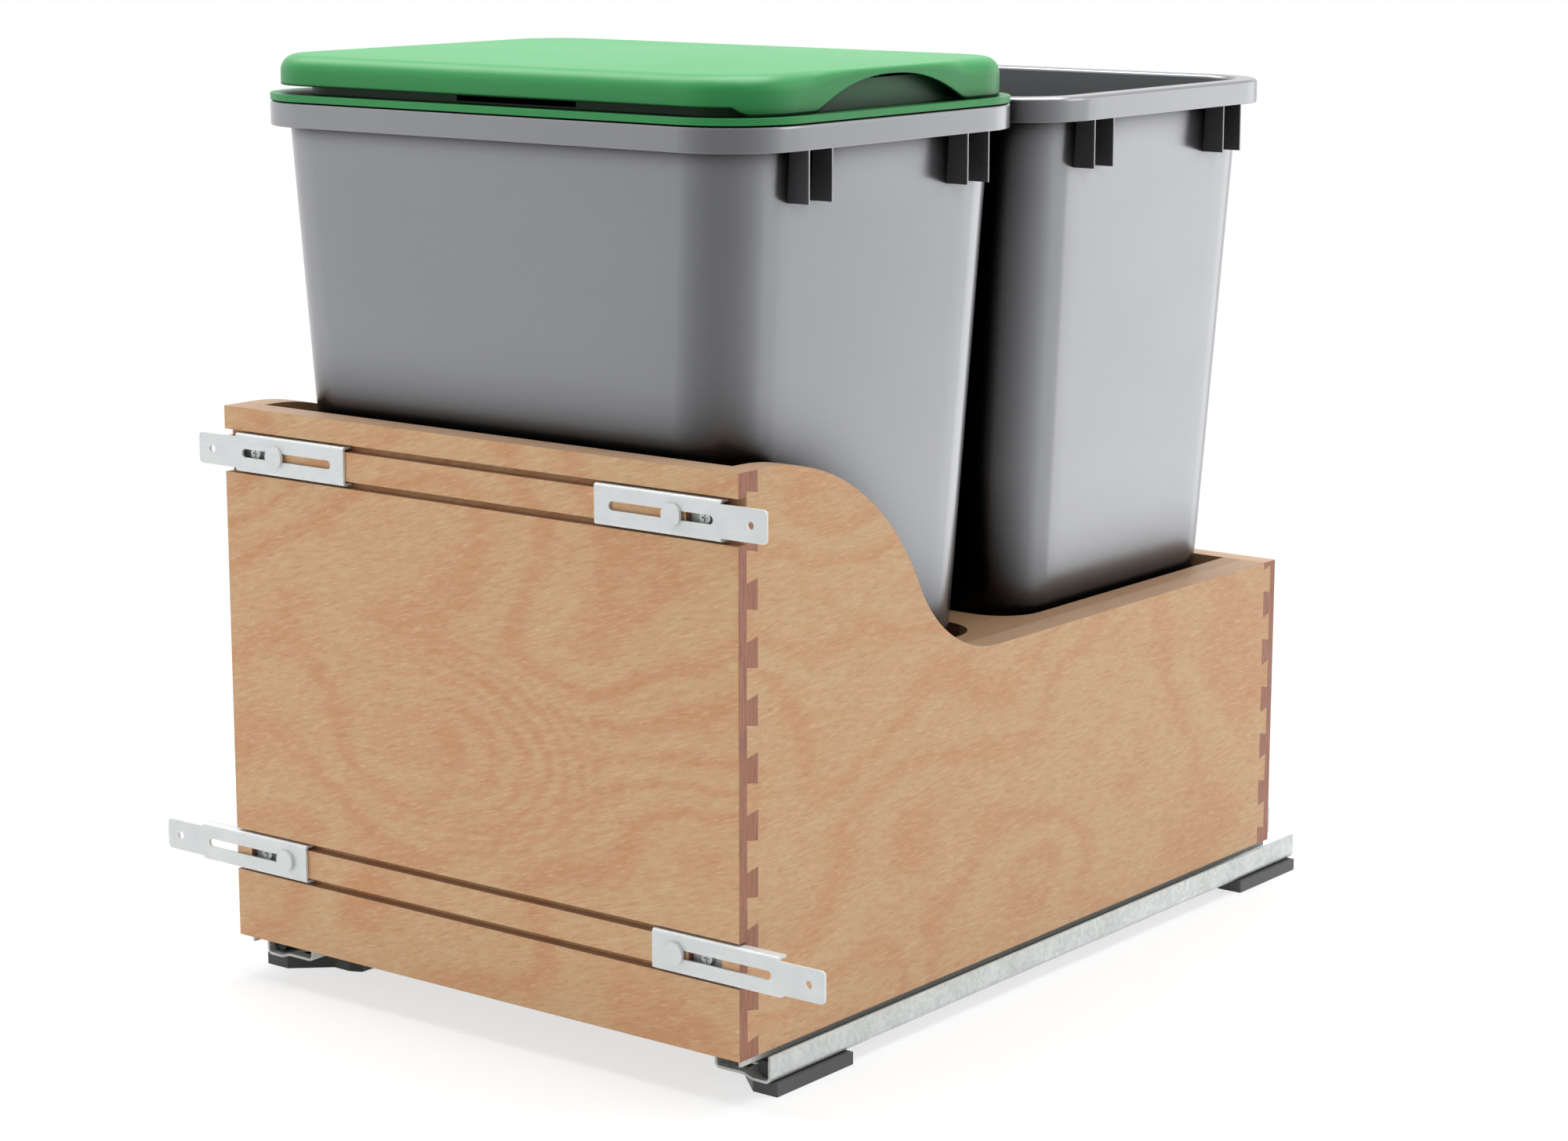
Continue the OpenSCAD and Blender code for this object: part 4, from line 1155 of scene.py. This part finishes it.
@dataclass(frozen=True)
class Lamp:
    """A soft rectangular lamp. Its power is in watts, and mirrored tells whether reflections show it."""

    name: str
    place: Point
    size: Pair
    power: float
    aim: Point = (0.0, 0.0, 0.3)
    mirrored: bool = True

    def build(self) -> None:
        """Hangs the lamp at its place and points it."""
        data = bpy.data.lights.new(self.name, "AREA")
        data.shape = "RECTANGLE"
        data.size, data.size_y = self.size
        data.energy = self.power
        lamp = bpy.data.objects.new(self.name, data)
        lamp.location = self.place
        lamp.rotation_euler = (Vector(self.aim) - Vector(self.place)).to_track_quat("-Z", "Y").to_euler()
        lamp.visible_glossy = self.mirrored
        bpy.context.scene.collection.objects.link(lamp)


@dataclass
class Studio:
    """A pale floor, a white backdrop, soft lamps and the camera."""

    camera_place: Point = (1.26474, -1.64477, 0.63238)
    camera_turn: Point = (math.pi / 2 - 0.1970, 0.0, 0.6572)
    lens: float = 81.93
    sensor: float = 36.0
    shift: Pair = (-0.0002, -0.00325)
    floor_half: float = 12.0
    floor_pale: Colour = tone(246, 246, 246)
    floor_dusty: Colour = tone(243, 243, 243)
    dust: Noise = Noise(40.0, 4.0)
    floor_rough: float = 0.9
    floor_specular: float = 0.1
    # The floor's glow, by the distance from the part.
    glow_window: Span = (0.45, 1.5)
    glow_share: Span = (0.7, 1.0)
    fill: float = 0.3
    # The dark card's direction, its light, and how far off that direction it fades.
    dark_card: Point = (0.5, -0.866, 0.0)
    card_light: float = 0.36
    card_window: Span = (0.22, 0.97)
    card_power: float = 0.55
    lamps: tuple[Lamp, ...] = (
        Lamp("top_lamp", (0.1, 0.2, 2.6), (2.0, 2.0), 86.0),
        Lamp("left_lamp", (-1.55, -0.25, 2.5), (1.4, 1.6), 30.0, aim=(0.0, -0.14, 0.5)),
        Lamp("right_lamp", (2.3, 1.3, 1.5), (1.6, 1.4), 10.0),
        Lamp("back_lamp", (1.05, 2.72, 0.0), (1.6, 2.7), 13.2, aim=(0.0, 0.0, 0.1)),
        Lamp("front_lamp", (-1.5, -2.5, 1.1), (1.8, 1.6), 16.0, mirrored=False),
    )

    def build(self) -> None:
        """Makes the camera, the floor, the world and the lamps."""
        self.camera()
        self.floor()
        self.world()
        for lamp in self.lamps:
            lamp.build()
        bpy.context.scene.view_settings.view_transform = "Standard"

    def camera(self) -> None:
        """Sets the camera at the photograph's viewpoint."""
        data = bpy.data.cameras.new("view")
        data.lens = self.lens
        data.sensor_width = self.sensor
        data.shift_x, data.shift_y = self.shift
        camera = bpy.data.objects.new("view", data)
        camera.location = self.camera_place
        camera.rotation_euler = self.camera_turn
        bpy.context.scene.collection.objects.link(camera)
        bpy.context.scene.camera = camera

    def floor(self) -> None:
        """Makes the pale floor, which keeps the part's shadow and turns white further out."""
        half = self.floor_half
        corners = [(-half, -half, 0), (half, -half, 0), (half, half, 0), (-half, half, 0)]
        mesh = bpy.data.meshes.new("floor")
        mesh.from_pydata(corners, [], [(0, 1, 2, 3)])
        floor = bpy.data.objects.new("floor", mesh)
        floor.visible_glossy = False
        bpy.context.scene.collection.objects.link(floor)
        graph = Surface("pale_floor")
        dust = graph.span(graph.noise(graph.place, self.dust), NOISE_SPAN)
        graph.finish(
            Base_Color=graph.mix(dust, self.floor_pale, self.floor_dusty),
            Roughness=self.floor_rough,
            Specular_IOR_Level=self.floor_specular,
        )
        away = graph.vector("LENGTH", graph.place, result="Value")
        share = graph.span(away, self.glow_window, self.glow_share)
        share = graph.math("MULTIPLY", share, self.seen(graph))
        glow = graph.add("Emission", {"Color": WHITE, "Strength": 1.0}).outputs[0]
        graph.put(graph.output.inputs[0], graph.blend(share, graph.shader.outputs[0], glow))
        mesh.materials.append(graph.material)

    def seen(self, graph: Graph) -> Socket:
        """Tells the rays that show the background from those that only carry light.

        Args:
            graph: The nodes of the floor or the world.

        Returns:
            1 for a ray from the camera, a reflection or a clear piece, and 0 for the others.
        """
        path = graph.add("LightPath", {})
        through = graph.math("MAXIMUM", path.outputs["Is Glossy Ray"], path.outputs["Is Transmission Ray"])
        return graph.math("MAXIMUM", through, path.outputs["Is Camera Ray"])

    def world(self) -> None:
        """Makes the white backdrop, with a darker card that only reflections show."""
        world = bpy.data.worlds.new("studio")
        bpy.context.scene.world = world
        world.use_nodes = True
        graph = Graph(world.node_tree)
        light = graph.add("Background", {"Color": WHITE, "Strength": self.fill}).outputs[0]
        backdrop = graph.add("Background", {"Color": WHITE, "Strength": 1.0}).outputs[0]
        direction = graph.add("TexCoord", {}).outputs["Generated"]
        toward = graph.vector("DOT_PRODUCT", direction, self.dark_card, result="Value")
        depth = graph.math("POWER", graph.span(toward, self.card_window), self.card_power)
        shade = graph.span(depth, (0.0, 1.0), (1.0, self.card_light))
        mirrored = graph.add("Background", {"Color": WHITE, "Strength": shade}).outputs[0]
        camera = graph.add("LightPath", {}).outputs["Is Camera Ray"]
        shown = graph.blend(camera, mirrored, backdrop)
        graph.add("OutputWorld", {0: graph.blend(self.seen(graph), light, shown)})


def main() -> None:
    """Builds and dresses every sub-assembly in order."""
    logging.basicConfig(level=logging.INFO, format="%(name)s: %(message)s")
    finishes = Finishes()
    Runners().build(finishes)
    WoodenBox().build(finishes)
    DoorBrackets().build(finishes)
    WasteBin("front_bin", "front_waste_bin", FRONT_BIN_Y).build(finishes)
    WasteBin("rear_bin", "rear_waste_bin", REAR_BIN_Y).build(finishes)
    Lid().build(finishes)
    Studio().build()


if __name__ == "__main__":
    main()
